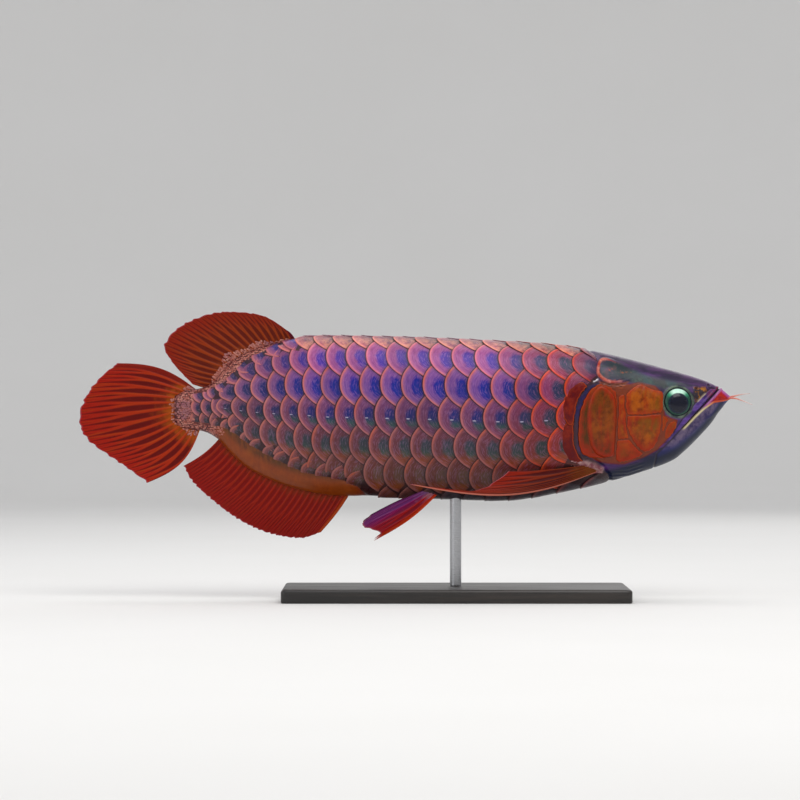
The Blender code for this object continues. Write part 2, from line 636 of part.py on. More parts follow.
def make_head(parts, tools, materials):
    """The skull with its cheek plates, the lower jaw, the gill covers, the eyes and the barbels."""
    reach = CUT_REACH
    rear = HEAD_REAR + PLATE_INNER
    whole = smooth_body("whole head", HEAD_FRONT, HEAD_REAR, 0.0, tools)
    raised = smooth_body("raised head", HEAD_FRONT, HEAD_REAR, PLATE_LIFT, tools)
    panelled = smooth_body("panelled head", HEAD_FRONT, HEAD_REAR, PANEL_LIFT, tools)
    bed = smooth_body("plate bed", BED_FRONT, rear, PLATE_ROOT, tools)
    core = smooth_body("cover core", ROOM_FRONT, rear, -GILL_THICKNESS, tools)
    inner = smooth_body("inner head", ROOM_FRONT, rear, -GILL_THICKNESS - GAP_UNITS, tools)

    def plate(source, outline, way, under):
        made = copy_of(source, "plate", tools)
        edge = prism("plate edge", outline, PLATE_INNER * way, reach * way, tools)
        combine(made, edge, "INTERSECT")
        combine(made, copy_of(under, "plate bed", tools), "DIFFERENCE")
        return made

    jaw_outline = MOUTH + JAW_REST
    head = copy_of(whole, "head", tools)
    combine(head, prism("head edge", HEAD, -reach, reach, tools), "INTERSECT")
    combine(head, prism("jaw room", grown(jaw_outline, GAP_UNITS), -reach, reach, tools), "DIFFERENCE")
    jaw = copy_of(whole, "jaw", tools)
    combine(jaw, prism("jaw edge", jaw_outline, -reach, reach, tools), "INTERSECT")
    for way, side in ((1, "right"), (-1, "left")):
        cover = plate(raised, GILL, way, core)
        combine(cover, plate(panelled, GILL_PANEL, way, bed), "UNION")
        finish_node(cover, f"gill_cover_{side}", materials["gill"], parts)
        room = prism("gill room", grown(GILL, GAP_UNITS), PLATE_INNER * way, reach * way, tools)
        combine(room, copy_of(inner, "room floor", tools), "DIFFERENCE")
        combine(head, room, "DIFFERENCE")
        for outline in CHEEK_PLATES.values():
            combine(head, plate(raised, outline, way, bed), "UNION")
        combine(jaw, plate(raised, LIP, way, bed), "UNION")
        eye_side = side_at(*EYE) - EYE_HALF_DEPTH + EYE_BULGE
        eye_place = (EYE[0], way * eye_side, EYE[1])
        socket = [r + GAP_UNITS for r in (EYE_RADIUS, EYE_HALF_DEPTH, EYE_RADIUS)]
        combine(head, ball("socket", eye_place, socket, tools, EYE_SEGMENTS, EYE_RINGS), "DIFFERENCE")
        radii = (EYE_RADIUS, EYE_HALF_DEPTH, EYE_RADIUS)
        eye = ball("eye", eye_place, radii, tools, EYE_SEGMENTS, EYE_RINGS)
        finish_node(eye, f"eye_{side}", materials["eye"], parts)
        for behind, above in NOSTRILS:
            pit_place = (behind, way * side_at(behind, above), above)
            pit = ball("nostril", pit_place, [NOSTRIL_RADIUS] * 3, tools, PIT_SEGMENTS, PIT_RINGS)
            combine(head, pit, "DIFFERENCE")
        places = BARBELS[f"barbel_{side}"]
        barbel = tapered_tube("barbel", places, BARBEL_RADIUS, tools)
        finish_node(barbel, f"barbel_{side}", materials["barbel"], parts)
        deeper = [(places[0][0] + BARBEL_ROOM, *places[0][1:]), *places[1:]]
        combine(jaw, tapered_tube("barbel room", deeper, BARBEL_RADIUS + GAP_UNITS, tools), "DIFFERENCE")
    for thing in (whole, raised, panelled, bed, core, inner):
        bpy.data.objects.remove(thing)
    finish_node(head, "head", materials["head"], parts)
    finish_node(jaw, "lower_jaw", materials["jaw"], parts)


def make_body(tools):
    """Trunk, tail and tail root, each a length of a scaled body, and the same forms a gap larger."""
    made = {}
    far = CUT_REACH
    spans = {
        "trunk": (BODY_SCALES, TRUNK_FRONT, TAIL_BEHIND - GAP_UNITS),
        "tail": (BODY_SCALES, TAIL_BEHIND, ROOT_BEHIND - GAP_UNITS),
        "tail_root": (ROOT_SCALES, ROOT_BEHIND, DRAWN_LENGTH),
    }
    for name, (scales, start, end) in spans.items():
        for suffix, extra in (("", 0.0), (" grown", GAP_UNITS)):
            body = scaled_body(name + suffix, scales, extra, tools)
            ends = [(start - extra, -far), (start - extra, far), (end + extra, far), (end + extra, -far)]
            combine(body, prism("span", ends, -far, far, tools), "INTERSECT")
            if name == "trunk":
                room = grown(HEAD, GAP_UNITS - extra)
                combine(body, prism("head room", room, -far, far, tools), "DIFFERENCE")
            made[name + suffix] = body
    return made


def make_fins(bodies, parts, tools, material):
    """All fins, each cut to stand a gap off the flesh that it grows from."""
    for kind, drawn in FINS.items():
        paired = kind in ("pectoral_fin", "pelvic_fin")
        for name, way in {kind + "_right": 1, kind + "_left": -1}.items() if paired else [(kind, 1)]:
            fin = ridged_fin(name, drawn, way, tools)
            for body in bodies:
                combine(fin, copy_of(body, "flesh", tools), "DIFFERENCE")
            finish_node(fin, name, material, parts)


def make_stand(trunk, parts, tools, materials):
    """A flat base with rounded edges, and a rod up to the belly."""
    shape = bmesh.new()
    bmesh.ops.create_cube(shape, size=1.0)
    bmesh.ops.scale(shape, vec=(BASE_LENGTH, BASE_WIDTH, BASE_THICKNESS), verts=shape.verts)
    bmesh.ops.translate(shape, vec=(0, 0, BASE_THICKNESS / 2), verts=shape.verts)
    edges = [e for e in shape.edges if any(v.co.z > BASE_THICKNESS / 2 for v in e.verts)]
    bmesh.ops.bevel(shape, geom=edges, offset=BASE_BEVEL, segments=4, affect="EDGES", profile=0.5)
    mesh = bpy.data.meshes.new("stand_base")
    shape.to_mesh(mesh)
    shape.free()
    base = bpy.data.objects.new("stand_base", mesh)
    tools.objects.link(base)
    finish_node(base, "stand_base", materials["stand_base"], parts)
    low, high = BASE_THICKNESS + GAP, AXIS_HEIGHT + ROD_TOP * UNIT
    shape = bmesh.new()
    bmesh.ops.create_cone(
        shape, cap_ends=True, segments=32, radius1=ROD_RADIUS, radius2=ROD_RADIUS, depth=high - low
    )
    bmesh.ops.translate(shape, vec=(0, 0, (high + low) / 2), verts=shape.verts)
    mesh = bpy.data.meshes.new("stand_rod")
    shape.to_mesh(mesh)
    shape.free()
    rod = bpy.data.objects.new("stand_rod", mesh)
    tools.objects.link(rod)
    combine(rod, copy_of(trunk, "belly", tools), "DIFFERENCE")
    finish_node(rod, "stand_rod", materials["stand_rod"], parts)


def main():
    clear_scene()
    parts, tools = new_collection("asian arowana"), new_collection("tools")
    materials = new_materials()
    make_head(parts, tools, materials)
    made = make_body(tools)
    grown_bodies = [made.pop(name + " grown") for name in ("trunk", "tail", "tail_root")]
    make_fins(grown_bodies, parts, tools, materials["fin"])
    make_stand(grown_bodies[0], parts, tools, materials)
    for name, thing in made.items():
        finish_node(thing, name, materials["scales"], parts)
    for thing in grown_bodies:
        bpy.data.objects.remove(thing)
    bpy.data.collections.remove(tools)


main()
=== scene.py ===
"""Looks of the life-size Asian arowana display model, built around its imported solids.

Places on the fish are (behind, side, above) in millimetres: behind the snout tip, to the fish's right
of its midplane, and above the body axis, as in the part's own source. The body's stations are
repeated from there. The skin is one surface, and every scale, head plate and fin is a thin closed
mesh laid on it or growing from it.
"""

import math
from collections import namedtuple

import bmesh
import bpy
import numpy as np
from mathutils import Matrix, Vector


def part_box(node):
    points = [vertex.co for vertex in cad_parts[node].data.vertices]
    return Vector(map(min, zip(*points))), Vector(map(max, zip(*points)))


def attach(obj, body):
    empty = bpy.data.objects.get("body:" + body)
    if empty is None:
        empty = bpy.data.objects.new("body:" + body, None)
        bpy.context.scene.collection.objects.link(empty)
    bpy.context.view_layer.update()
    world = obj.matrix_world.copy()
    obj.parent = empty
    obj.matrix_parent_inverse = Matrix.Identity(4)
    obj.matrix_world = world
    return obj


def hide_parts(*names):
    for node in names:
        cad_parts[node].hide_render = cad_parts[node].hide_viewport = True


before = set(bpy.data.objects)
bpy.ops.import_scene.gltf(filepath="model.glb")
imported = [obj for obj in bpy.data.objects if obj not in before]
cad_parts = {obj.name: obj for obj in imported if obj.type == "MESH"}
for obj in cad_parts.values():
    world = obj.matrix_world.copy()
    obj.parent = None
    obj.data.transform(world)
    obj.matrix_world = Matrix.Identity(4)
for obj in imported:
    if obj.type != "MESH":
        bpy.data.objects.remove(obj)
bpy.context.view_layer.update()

# The frame that the stations are drawn in, in millimetres
ROD_BEHIND = 228.0  # from the snout tip to the stand's rod
AXIS_HEIGHT = 165.8  # of the body axis over the table
WIDEST = 64.0
SIDES = ((1, "right"), (-1, "left"))  # the sign of a side's places, and its name
FAR_OFF = 99.0  # a distance that is out of any form's reach

# Body stations: (behind, above) of the back and of the belly, then half the width as a share of the
# widest, and the height of the widest place as a share from belly to back
BACK = [
    (-10.3, 10.9), (-4.2, 16.2), (0.0, 19.3), (15.4, 26.0), (52.0, 36.7), (103.1, 49.4),
    (137.3, 54.7), (172.7, 57.5), (252.6, 61.5), (311.0, 63.0), (350.0, 63.4), (366.0, 62.4),
    (385.0, 58.0), (406.7, 50.5), (422.3, 41.5), (432.8, 30.5), (441.0, 21.5), (452.0, 17.5),
    (463.0, 16.0), (472.0, 11.0),
]  # fmt: skip
BELLY = [
    (-10.3, 9.0), (-6.1, 4.3), (-1.7, -0.9), (5.6, -11.8), (15.4, -22.8), (27.5, -35.0),
    (39.8, -44.7), (64.3, -53.9), (88.6, -61.3), (132.1, -71.3), (179.0, -79.1), (233.7, -78.2),
    (276.3, -77.3), (318.0, -75.6), (338.5, -74.6), (365.1, -69.5), (389.1, -61.2), (410.4, -50.0),
    (425.0, -36.5), (434.0, -26.5), (445.0, -20.0), (456.0, -18.0), (465.0, -16.5), (472.0, -11.5),
]  # fmt: skip
HALF_WIDTH = [
    (-10.3, 0.07), (-4.2, 0.19), (0.0, 0.27), (8.0, 0.385), (15.4, 0.47), (27.5, 0.57), (40.0, 0.635),
    (52.0, 0.69), (76.0, 0.78), (103.0, 0.86), (137.0, 0.94), (172.0, 0.985), (215.0, 1.0),
    (276.0, 0.95), (318.0, 0.85), (345.0, 0.76), (389.0, 0.56), (425.0, 0.40), (452.0, 0.29),
    (472.0, 0.16),
]  # fmt: skip
WAIST = [(-10.3, 0.5), (20.0, 0.52), (60.0, 0.55), (150.0, 0.6), (320.0, 0.58), (440.0, 0.5)]
BACK_SQUARENESS = 2.35  # 2 is an ellipse
BELLY_SQUARENESS = 1.85
FRONT, END = -10.3, 472.0
SECTION_STEPS, SHARE_STEPS = 240, 128  # round half a section, to measure it and in its table

# Head: its rear edge from the back down, as (behind, above), the mouth line, and the light line below it,
# which is partly a painted highlight
HEAD_REAR = [
    (113.5, 70.0), (113.5, 50.6), (110.5, 49.2), (107.7, 45.5), (107.7, 29.5), (104.3, 22.2), (112.6, 16.9),
    (117.8, 8.3), (121.7, -2.8), (123.0, -18.2), (122.4, -31.5), (119.4, -39.4), (111.2, -42.2),
    (102.5, -49.8), (97.3, -56.7), (92.1, -80.0),
]  # fmt: skip
MOUTH = [(-2.0, 19.5), (5.2, 12.0), (12.2, 5.0), (20.9, -4.4), (27.8, -12.0), (34.5, -18.9)]
LIP_LINE = [(-9.8, 8.6), (-4.5, 7.4), (4.7, 6.0), (13.8, 0.0), (21.5, -7.0), (33.0, -18.6)]
# The line of a painted highlight along the maxilla's upper edge
MAXILLA_HIGHLIGHT = [(19.8, 5.6), (15.4, 10.4), (11.0, 14.4)]
WHITE_STREAK = [(110.6, 23.4), (104.4, 26.6)]
JAW_REAR = [(34.5, -18.9), (45.2, -30.4), (54.0, -39.0), (57.5, -60.0)]
JAW_EDGE = [(0.5, 17.6), (7.4, 18.0), (15.4, 10.6), (24.0, 1.6), (32.6, -9.4), (40.2, -20.6)]
JAW_RIDGE = [(-4.0, 1.5), (12.0, -9.0), (30.0, -26.0), (46.0, -36.0)]
THROAT_FOLDS = [(60.0, -42.0), (80.0, -48.5), (104.0, -50.0)]

# How high each form of the mouth stands on the skin
MOUTH_RELIEF = {
    "gape": -1.6, "lip": 0.8, "upper_lip": 0.45, "cream_and_highlight": 0.5, "inner_lip": -0.4, "maxilla_highlight": 0.3,
    "jaw_seam": -0.6, "maxilla_seam": -0.5,
}  # fmt: skip

# Head plates and areas of the head's colours, as closed outlines of (behind, above)
GILL = HEAD_REAR[5:13] + [
    (100.8, -42.6), (90.8, -41.2), (90.2, -26.9), (89.2, -13.9), (88.8, 6.1), (89.9, 15.2), (95.6, 19.5),
]  # fmt: skip
GILL_PANEL = [
    (102.4, 20.0), (97.1, 16.6), (91.8, 10.6), (90.6, 3.5), (90.6, -7.0), (91.4, -22.1), (91.9, -36.1),
    (92.6, -40.8), (100.1, -41.2), (106.8, -38.6), (111.5, -31.4), (113.6, -19.8), (114.2, -8.2),
    (113.3, 3.5), (110.5, 12.4), (106.5, 17.6),
]  # fmt: skip
CHEEK_PLATES = {
    "upper": [
        (81.2, 13.0), (76.8, 17.4), (72.1, 20.7), (67.5, 21.4), (61.6, 18.4), (55.8, 16.3), (49.8, 14.9),
        (48.6, 8.1), (50.2, -2.9), (55.8, -3.7), (67.5, -4.9), (80.3, -4.9), (81.7, 3.5),
    ],
    "lower": [
        (80.3, -5.8), (67.5, -5.8), (55.8, -4.7), (50.6, -4.1), (50.9, -12.8), (51.8, -19.8), (54.1, -27.9),
        (57.0, -33.2), (61.6, -36.7), (65.1, -37.0), (69.2, -34.3), (73.3, -29.7), (77.9, -22.1),
        (80.5, -15.1),
    ],
    "front": [
        (87.8, 10.5), (86.1, 12.2), (82.4, 12.8), (82.9, 3.5), (81.5, -5.8), (81.6, -15.1), (79.1, -23.3),
        (78.8, -25.2), (88.6, -26.2), (88.6, -12.8), (87.8, -3.5),
    ],
    "under": [
        (88.8, -27.2), (78.3, -26.1), (74.8, -30.8), (70.2, -36.0), (66.1, -38.6), (68.6, -40.8),
        (74.5, -43.3), (81.4, -45.2), (87.2, -46.0), (89.9, -43.1), (89.7, -36.1),
    ],
}  # fmt: skip
EYE_PLATES = {
    "before_eye": [(49.6, -4.9), (47.1, -6.6), (44.4, -9.2), (46.5, -12.8), (48.0, -18.1), (50.0, -20.4)],
    "eye_corner": [
        (48.0, -24.5), (47.2, -19.8), (45.4, -14.6), (43.4, -11.4), (40.1, -10.0), (37.0, -11.4),
        (37.2, -14.6), (39.8, -19.2), (42.4, -23.3), (45.4, -25.9),
    ],
}  # fmt: skip
NAPE = [
    (106.8, 33.7), (105.3, 41.3), (102.4, 44.0), (98.9, 44.4), (93.1, 42.8), (84.9, 39.6), (76.8, 34.9),
    (72.1, 30.2), (74.5, 25.6), (81.4, 23.5), (88.4, 22.3), (95.4, 22.1), (100.0, 23.8), (104.1, 26.7),
    (106.5, 29.7),
]  # fmt: skip
CHEEK_AREA = [
    (107.0, 24.0), (92.0, 22.0), (78.0, 21.5), (70.0, 23.0), (56.0, 20.0), (49.0, 13.0), (47.5, -5.0),
    (43.0, -7.5), (36.5, -9.5), (39.0, -19.0), (47.0, -28.0), (54.0, -35.5), (66.0, -42.0), (82.0, -48.0),
    (98.0, -47.0), (110.0, -44.0), (116.0, -20.0), (112.0, 8.0),
]  # fmt: skip
TEMPLE = [(108.0, 24.5), (96.0, 24.8), (86.0, 25.5), (79.0, 23.5), (84.0, 18.0), (92.0, 19.0), (100.0, 21.5)]
GREEN_BAND = [
    (97.7, 40.1), (88.4, 40.7), (76.8, 34.9), (62.8, 29.1), (48.8, 25.6), (32.6, 22.1), (38.4, 19.0),
    (47.7, 17.0), (55.8, 18.6), (62.8, 20.9), (72.1, 22.1), (79.1, 25.6), (90.7, 29.0),
]  # fmt: skip
SNOUT_SPECKS = [(22.5, 18.5), (12.0, 18.8), (10.4, 14.5), (19.8, 5.4), (23.5, 10.0)]
SHOULDER_LOW = [
    (126.0, -8.0), (126.8, -18.0), (126.0, -32.0), (121.5, -42.0), (117.0, -46.0), (124.0, -50.0),
    (133.0, -45.0), (138.9, -33.0), (139.6, -23.0), (137.4, -16.0), (132.5, -11.0),
]  # fmt: skip
SHOULDER_HIGH = [
    (114.5, 19.5), (120.0, 13.5), (123.8, 6.0), (125.6, -5.0), (127.2, -14.0), (131.0, -14.5), (135.2, -9.0),
    (137.4, 0.0), (135.8, 9.0), (131.0, 17.0), (125.5, 22.5), (119.5, 24.5),
]  # fmt: skip
PLATE_ROOT = -1.8  # how deep a plate's under side lies

# Scaled skin: the skin of the pectoral fins' bases, and where the scales start and end
FIN_BASE = [
    (142.0, -42.5), (130.0, -43.5), (117.0, -45.0), (107.0, -47.5), (100.0, -51.0), (101.0, -56.5),
    (116.0, -56.5), (142.0, -54.0),
]  # fmt: skip
SCALES_START = HEAD_REAR[:4] + [
    (107.7, 27.0), (114.0, 22.5), (128.0, 17.0), (131.5, 6.0), (133.4, -5.0), (135.0, -18.0), (135.6, -33.0),
    (129.0, -44.0), (112.0, -51.0), (97.3, -57.0), (92.1, -80.0),
]  # fmt: skip
SCALES_END_LOW = [
    (300.0, -80.0), (312.0, -66.0), (329.0, -59.5), (344.5, -56.5), (358.5, -54.0), (372.5, -48.0),
    (391.0, -38.8), (406.6, -29.5), (419.0, -20.5), (430.0, -14.5), (450.0, -12.8), (475.0, -12.0),
]  # fmt: skip
SCALES_END_HIGH = [
    (300.0, 90.0), (366.0, 63.5), (383.3, 56.5), (394.0, 49.7), (409.7, 42.0), (419.0, 32.6), (428.3, 23.3),
    (440.8, 16.2), (450.0, 15.5), (475.0, 14.0),
]  # fmt: skip
SHEATH_START, SHEATH_END = (305.0, 318.0), (438.0, 431.0)  # of the bare skin over the anal fin
GRAINY_START, GRAINY_UNDER = (452.0, 458.0), (426.0, 432.0)  # of the skin with small scales

EYE = (36.2, 6.3)
EYE_RADIUS = 12.0
EYE_DOME = 4.4  # half the flattened ball's depth
EYE_DEPTH = 1.9  # how deep its middle lies
PUPIL_DROP = 1.5  # how far the pupil lies under the middle
NOSTRILS = [(8.6, 20.6), (19.6, 18.0)]

# The skin's mesh: stretches of its length, each with its rings, and steps around
SKIN_STRETCHES = ((FRONT, 50.0, 128), (50.0, 112.0, 96), (112.0, END, 89))
SKIN_AROUND = 320
SKIN_DEPTH = 1.0  # the skin lies this far under the solids where scales cover it

# Scales: the station of column 0, the pitch, its loss per column, and each row's turn
Lattice = namedtuple("Lattice", "first pitch loss turns")
BODY_SCALES = Lattice(98.0, 22.5, 0.5, (0.0, 0.061, 0.2, 0.36, 0.52, 0.68, 0.84, 1.0))
ROOT_SCALES = Lattice(418.0, 11.5, 0.9, (0.0, 0.25, 0.5, 0.75, 1.0))
BODY_TIPS_END = 436.0  # no tip of a trunk or tail scale lies beyond it
RIDGE_END, KEEL_END = 368.0, 324.0  # nor one of the row on the back, or under the belly
ROOT_TIPS = (431.0, 461.0)  # where the tips of the tail root's scales may lie
SCALE_SLANT = 24.0  # how far a column leans, in millimetres for each unit of turn
LATERAL_LINE = 0.52  # its turn
SCALE_WIDTH = 0.74  # half of a scale's width, in rows
SCALE_DEPTH = 0.74  # how far its rim runs back to its corners, in pitches
RIM_POWER = 2.2  # how square that rim is: 2 is a parabola
SCALE_LEAN = 0.3  # how much deeper it is on its lower side, and shallower on its upper one
SCALE_LENGTH = 1.75  # in pitches
SCALE_LIFT = 0.064  # of the rim over the skin, in pitches
SCALE_THICK = 0.36
SCALE_ALONG, SCALE_ACROSS = 15, 22  # mesh points of a scale
PATCH_SIZE = 0.003  # of a small scale's patch on the map for baking
SHOWN = ("rim", "gap", "back", "down", "turn", "behind", "chance")  # what a scale's colours go by
FIRST_PORE = 142.0  # the lateral line's first tube lies behind this station

# Smaller scales at the borders: the line, first and last station, offset from the line, and turn
EDGE_ROWS = ((SCALES_END_LOW, 322.0, 440.0, 1.2, 0.8), (SCALES_END_HIGH, 378.0, 444.0, -2.5, 0.26))
EDGE_PITCH = 14.0  # of the first of them

# Small domed scales: first, end and step of their columns and rows on the bare skin, and on the fins'
# bases how far out they reach, their count, and the columns and start of their part of the map
SMALL_COLUMNS, SMALL_ROWS = (370.0, 470.0, 2.0), (-22.0, 62.0, 1.8)
SCALED_FINS = (("dorsal_fin", 0.27, 900, 30, 0.5), ("tail_fin", 0.15, 420, 20, 0.76))
SMALL_SIZE = np.array([1.15, 0.88, 0.38])  # half of one's length, width and height

# Fins: root and tip curves, rays, normal, bow of the first and the last ray, sway of the edge
FINS = {
    "dorsal_fin": (
        [
            (366.0, 0, 57.0), (384.0, 0, 51.0), (404.0, 0, 44.0), (418.0, 0, 35.0), (427.0, 0, 25.0),
            (434.0, 0, 17.0),
        ],
        [
            (371.5, 0, 66.4), (391.0, 0, 79.4), (406.6, 0, 83.6), (434.4, 0, 84.4), (457.0, 0, 77.9),
            (473.5, 0, 67.8), (482.0, 0, 54.7), (478.4, 0, 46.1), (470.1, 0, 35.2), (456.4, 0, 21.4),
        ],
        20, (0, 1, 0), (-0.06, 0.04), 2.0,
    ),
    "anal_fin": (
        [
            (317.0, 0, -69.0), (340.0, 0, -68.0), (364.0, 0, -62.0), (387.0, 0, -53.5), (408.0, 0, -41.5),
            (422.0, 0, -29.0), (429.0, 0, -20.5),
        ],
        [
            (345.5, 0, -107.5), (362.5, 0, -112.6), (391.9, 0, -107.9), (418.4, 0, -95.3), (444.9, 0, -74.9),
            (458.2, 0, -61.7), (464.6, 0, -49.6),
        ],
        27, (0, 1, 0), (0.03, 0.06), -2.5,
    ),
    "tail_fin": (
        [
            (449.0, 0, 13.5), (459.0, 0, 9.5), (463.0, 0, 5.0), (464.5, 0, -0.5), (463.0, 0, -6.0),
            (459.0, 0, -11.0), (449.0, 0, -15.0),
        ],
        [
            (522.9, 0, 39.8), (538.7, 0, 26.2), (549.1, 0, 12.3), (554.6, 0, 0.0), (555.4, 0, -14.5),
            (548.3, 0, -27.1), (533.5, 0, -38.4), (518.6, 0, -48.4), (496.1, 0, -64.3),
        ],
        15, (0, 1, 0), (-0.11, 0.14), 2.5,
    ),
    "pectoral_fin": (
        [(102.8, 11.8, -53.2), (105.6, 14.2, -50.8), (110.2, 15.6, -47.9)],
        [
            (269.0, 66.0, -63.8), (254.0, 60.0, -66.2), (239.0, 54.5, -69.4), (223.0, 49.5, -70.8),
            (209.0, 45.5, -69.0), (196.0, 41.5, -62.4), (184.0, 38.0, -53.5),
        ],
        7, (-0.16, 0.78, 0.62), (0.11, 0.02), 0.0,
    ),
    "pelvic_fin": (
        [(241.0, 6.5, -71.0), (246.0, 8.0, -70.0), (252.0, 9.5, -69.0)],
        [(299.2, 25.0, -113.8), (293.4, 25.0, -107.5), (309.6, 28.0, -100.3), (301.6, 25.0, -92.2)],
        6, (-0.26, 0.96, 0.06), (0.05, -0.02), 0.0,
    ),
}  # fmt: skip
RAY_HALF = (1.1, 0.36)  # half a ray's thickness at its base and at the edge
WEB_HALF = (0.3, 0.13)  # and half the membrane's
WEB_NOTCH = 0.014  # how far the edge steps back between two rays, as a share of their length
EDGE_WAVES = 1.1  # of the sway, from the first ray to the last
ACROSS_RAY = 12  # mesh steps from one ray to the next
ALONG_RAY = 64  # mesh points from base to edge
PAIRED_FINS = ("pectoral_fin", "pelvic_fin")

BARBELS = {
    "barbel_right": [(-8.3, 2.2, 9.6), (-14.5, 4.5, 9.2), (-22.0, 7.5, 6.6), (-29.1, 10.0, 3.6)],
    "barbel_left": [(-8.3, -2.2, 9.8), (-14.5, -4.5, 11.2), (-22.0, -7.5, 12.8), (-29.1, -10.0, 13.4)],
}
BARBEL_RADIUS = 0.9

# Colours of the head plates: ground, light and dull mottling, edge zone, seam, and line at the rim
PLATE_COLOURS = {
    "cheek": ((124, 46, 2), (190, 92, 4), (130, 84, 10), (178, 34, 8), (56, 8, 6), (200, 80, 22)),
    "gill": ((104, 42, 2), (158, 74, 4), (84, 50, 10), (186, 38, 8), (64, 10, 6), (196, 84, 24)),
    "shoulder": ((92, 44, 48), (150, 74, 66), (58, 34, 52), (112, 54, 52), (34, 18, 30), (255, 124, 84)),
}

# Colours of the fins: base, web, outer web, rays, outer rays and first ray. The paired fins' last
# numbers are how many rays the first one's colour spans and, on the pelvic fins, the rear's colour.
FIN_COLOURS = {
    "dorsal_fin": ((164, 96, 72), (116, 34, 18), (124, 26, 24), (182, 78, 42), (172, 52, 34), (112, 44, 62)),
    "anal_fin": ((148, 62, 30), (142, 14, 6), (134, 12, 12), (182, 40, 14), (170, 26, 14), (200, 80, 28)),
    "tail_fin": ((208, 104, 34), (118, 14, 8), (132, 20, 20), (210, 62, 22), (200, 42, 26), (150, 46, 38)),
    "pectoral_fin": (
        (132, 70, 32), (88, 8, 8), (118, 18, 12), (152, 54, 18), (182, 52, 36), (226, 160, 148), 0.62,
    ),
    "pelvic_fin": (
        (184, 140, 150), (136, 30, 44), (136, 30, 44), (186, 66, 62), (168, 48, 54), (232, 84, 52), 1.35,
        (104, 76, 132),
    ),
}  # fmt: skip

# Stand and floor, in millimetres. The floor curves up at its edge into a wall.
BASE_CORNER, BASE_BEVEL = 4.0, 3.0
FLOOR, FLOOR_CURVE, WALL = 3000.0, 1500.0, 2600.0

# Lights and camera, in metres
LIT_PLACE = (-0.02, 0.0, 0.16)
CAMERA_DISTANCE = 3.3
FRAME_WIDTH = 0.695
FRAME_MIDDLE = (-0.0483, 0.1736)

rng = np.random.default_rng(7)


# Numbers


def smoothstep(low, high, value):
    """A smooth step from 0 to 1, while a value goes from low to high."""
    t = np.clip((value - low) / (high - low), 0.0, 1.0)
    return t * t * (3.0 - 2.0 * t)


def bump(value, middle, width):
    """A round bump of height 1 over the middle."""
    return np.exp(-(((value - middle) / width) ** 2))


def smooth(table, place):
    """Values at places on a smooth curve through (place, value) stations, level beyond its ends."""
    x, y = np.array(table, float).T
    slope = np.empty(len(x))
    slope[1:-1] = (y[2:] - y[:-2]) / (x[2:] - x[:-2])
    slope[0] = (y[1] - y[0]) / (x[1] - x[0])
    slope[-1] = (y[-1] - y[-2]) / (x[-1] - x[-2])
    place = np.clip(place, x[0], x[-1])
    k = np.clip(np.searchsorted(x, place, "right") - 1, 0, len(x) - 2)
    span = x[k + 1] - x[k]
    t = (place - x[k]) / span
    rise = (2 * t**3 - 3 * t**2 + 1) * y[k] + (3 * t**2 - 2 * t**3) * y[k + 1]
    return rise + span * ((t**3 - 2 * t**2 + t) * slope[k] + (t**3 - t**2) * slope[k + 1])


def along(points, share):
    """Places on a smooth curve through points, at shares of its length."""
    points = np.array(points, float)
    steps = np.linalg.norm(np.diff(points, axis=0), axis=1)
    places = np.concatenate([[0.0], np.cumsum(steps)])
    columns = [smooth(list(zip(places, points[:, k])), share * places[-1]) for k in range(3)]
    return np.stack(columns, axis=-1)


def unit(vectors):
    """The vectors at length 1."""
    return vectors / np.maximum(np.linalg.norm(vectors, axis=-1, keepdims=True), 1e-12)


def spot(places):
    """Places (behind, side, above) in millimetres as points in metres."""
    behind, side, above = np.moveaxis(np.asarray(places, float), -1, 0)
    return np.stack([ROD_BEHIND - behind, -side, AXIS_HEIGHT + above], axis=-1) * 0.001


def to_line(line, behind, above):
    """Distance from places to an open line, positive below it, and share along it at the nearest point."""
    line = np.array(line, float)
    a, d = line[:-1], np.diff(line, axis=0)
    lengths = np.linalg.norm(d, axis=1)
    starts = np.concatenate([[0.0], np.cumsum(lengths)])
    best = np.full(np.shape(behind), 1e9)
    side, share = np.zeros_like(best), np.zeros_like(best)
    for k in range(len(a)):
        x, z = behind - a[k, 0], above - a[k, 1]
        t = np.clip((x * d[k, 0] + z * d[k, 1]) / lengths[k] ** 2, 0.0, 1.0)
        gap = np.hypot(x - t * d[k, 0], z - t * d[k, 1])
        near = gap < best
        best = np.where(near, gap, best)
        side = np.where(near, np.sign(x * d[k, 1] - z * d[k, 0]), side)
        share = np.where(near, (starts[k] + t * lengths[k]) / starts[-1], share)
    return best * side, share


# Body surface


def section_table():
    """For each station, the angle round the section at each share of its length from back to belly."""
    stations = np.arange(FRONT - 2.0, END + 3.0, 1.0)
    angle = np.linspace(0.0, math.pi, SECTION_STEPS + 1)
    shares = np.linspace(0.0, 1.0, SHARE_STEPS + 1)
    rows = []
    for behind in stations:
        side, above = section_place(np.full(angle.shape, behind), angle)
        length = np.concatenate([[0.0], np.cumsum(np.hypot(np.diff(side), np.diff(above)))])
        rows.append(np.interp(shares * length[-1], length, angle))
    return stations, shares, np.array(rows)


def section(behind):
    """Heights of the back, the belly and the waist between them, and half the width, at a station."""
    top, bottom = smooth(BACK, behind), smooth(BELLY, behind)
    waist = bottom + (top - bottom) * smooth(WAIST, behind)
    return top, bottom, waist, smooth(HALF_WIDTH, behind) * WIDEST / 2


def section_place(behind, angle):
    """Side and height of the section's outline at an angle from the top."""
    top, bottom, waist, half = section(behind)
    upper = angle <= math.pi / 2
    power = np.where(upper, 2 / BACK_SQUARENESS, 2 / BELLY_SQUARENESS)
    reach = np.where(upper, top - waist, waist - bottom)
    cosine = np.cos(angle)
    side = half * np.abs(np.sin(angle)) ** power
    return side, waist + np.sign(cosine) * np.abs(cosine) ** power * reach


STATIONS, SHARES, ANGLES = section_table()


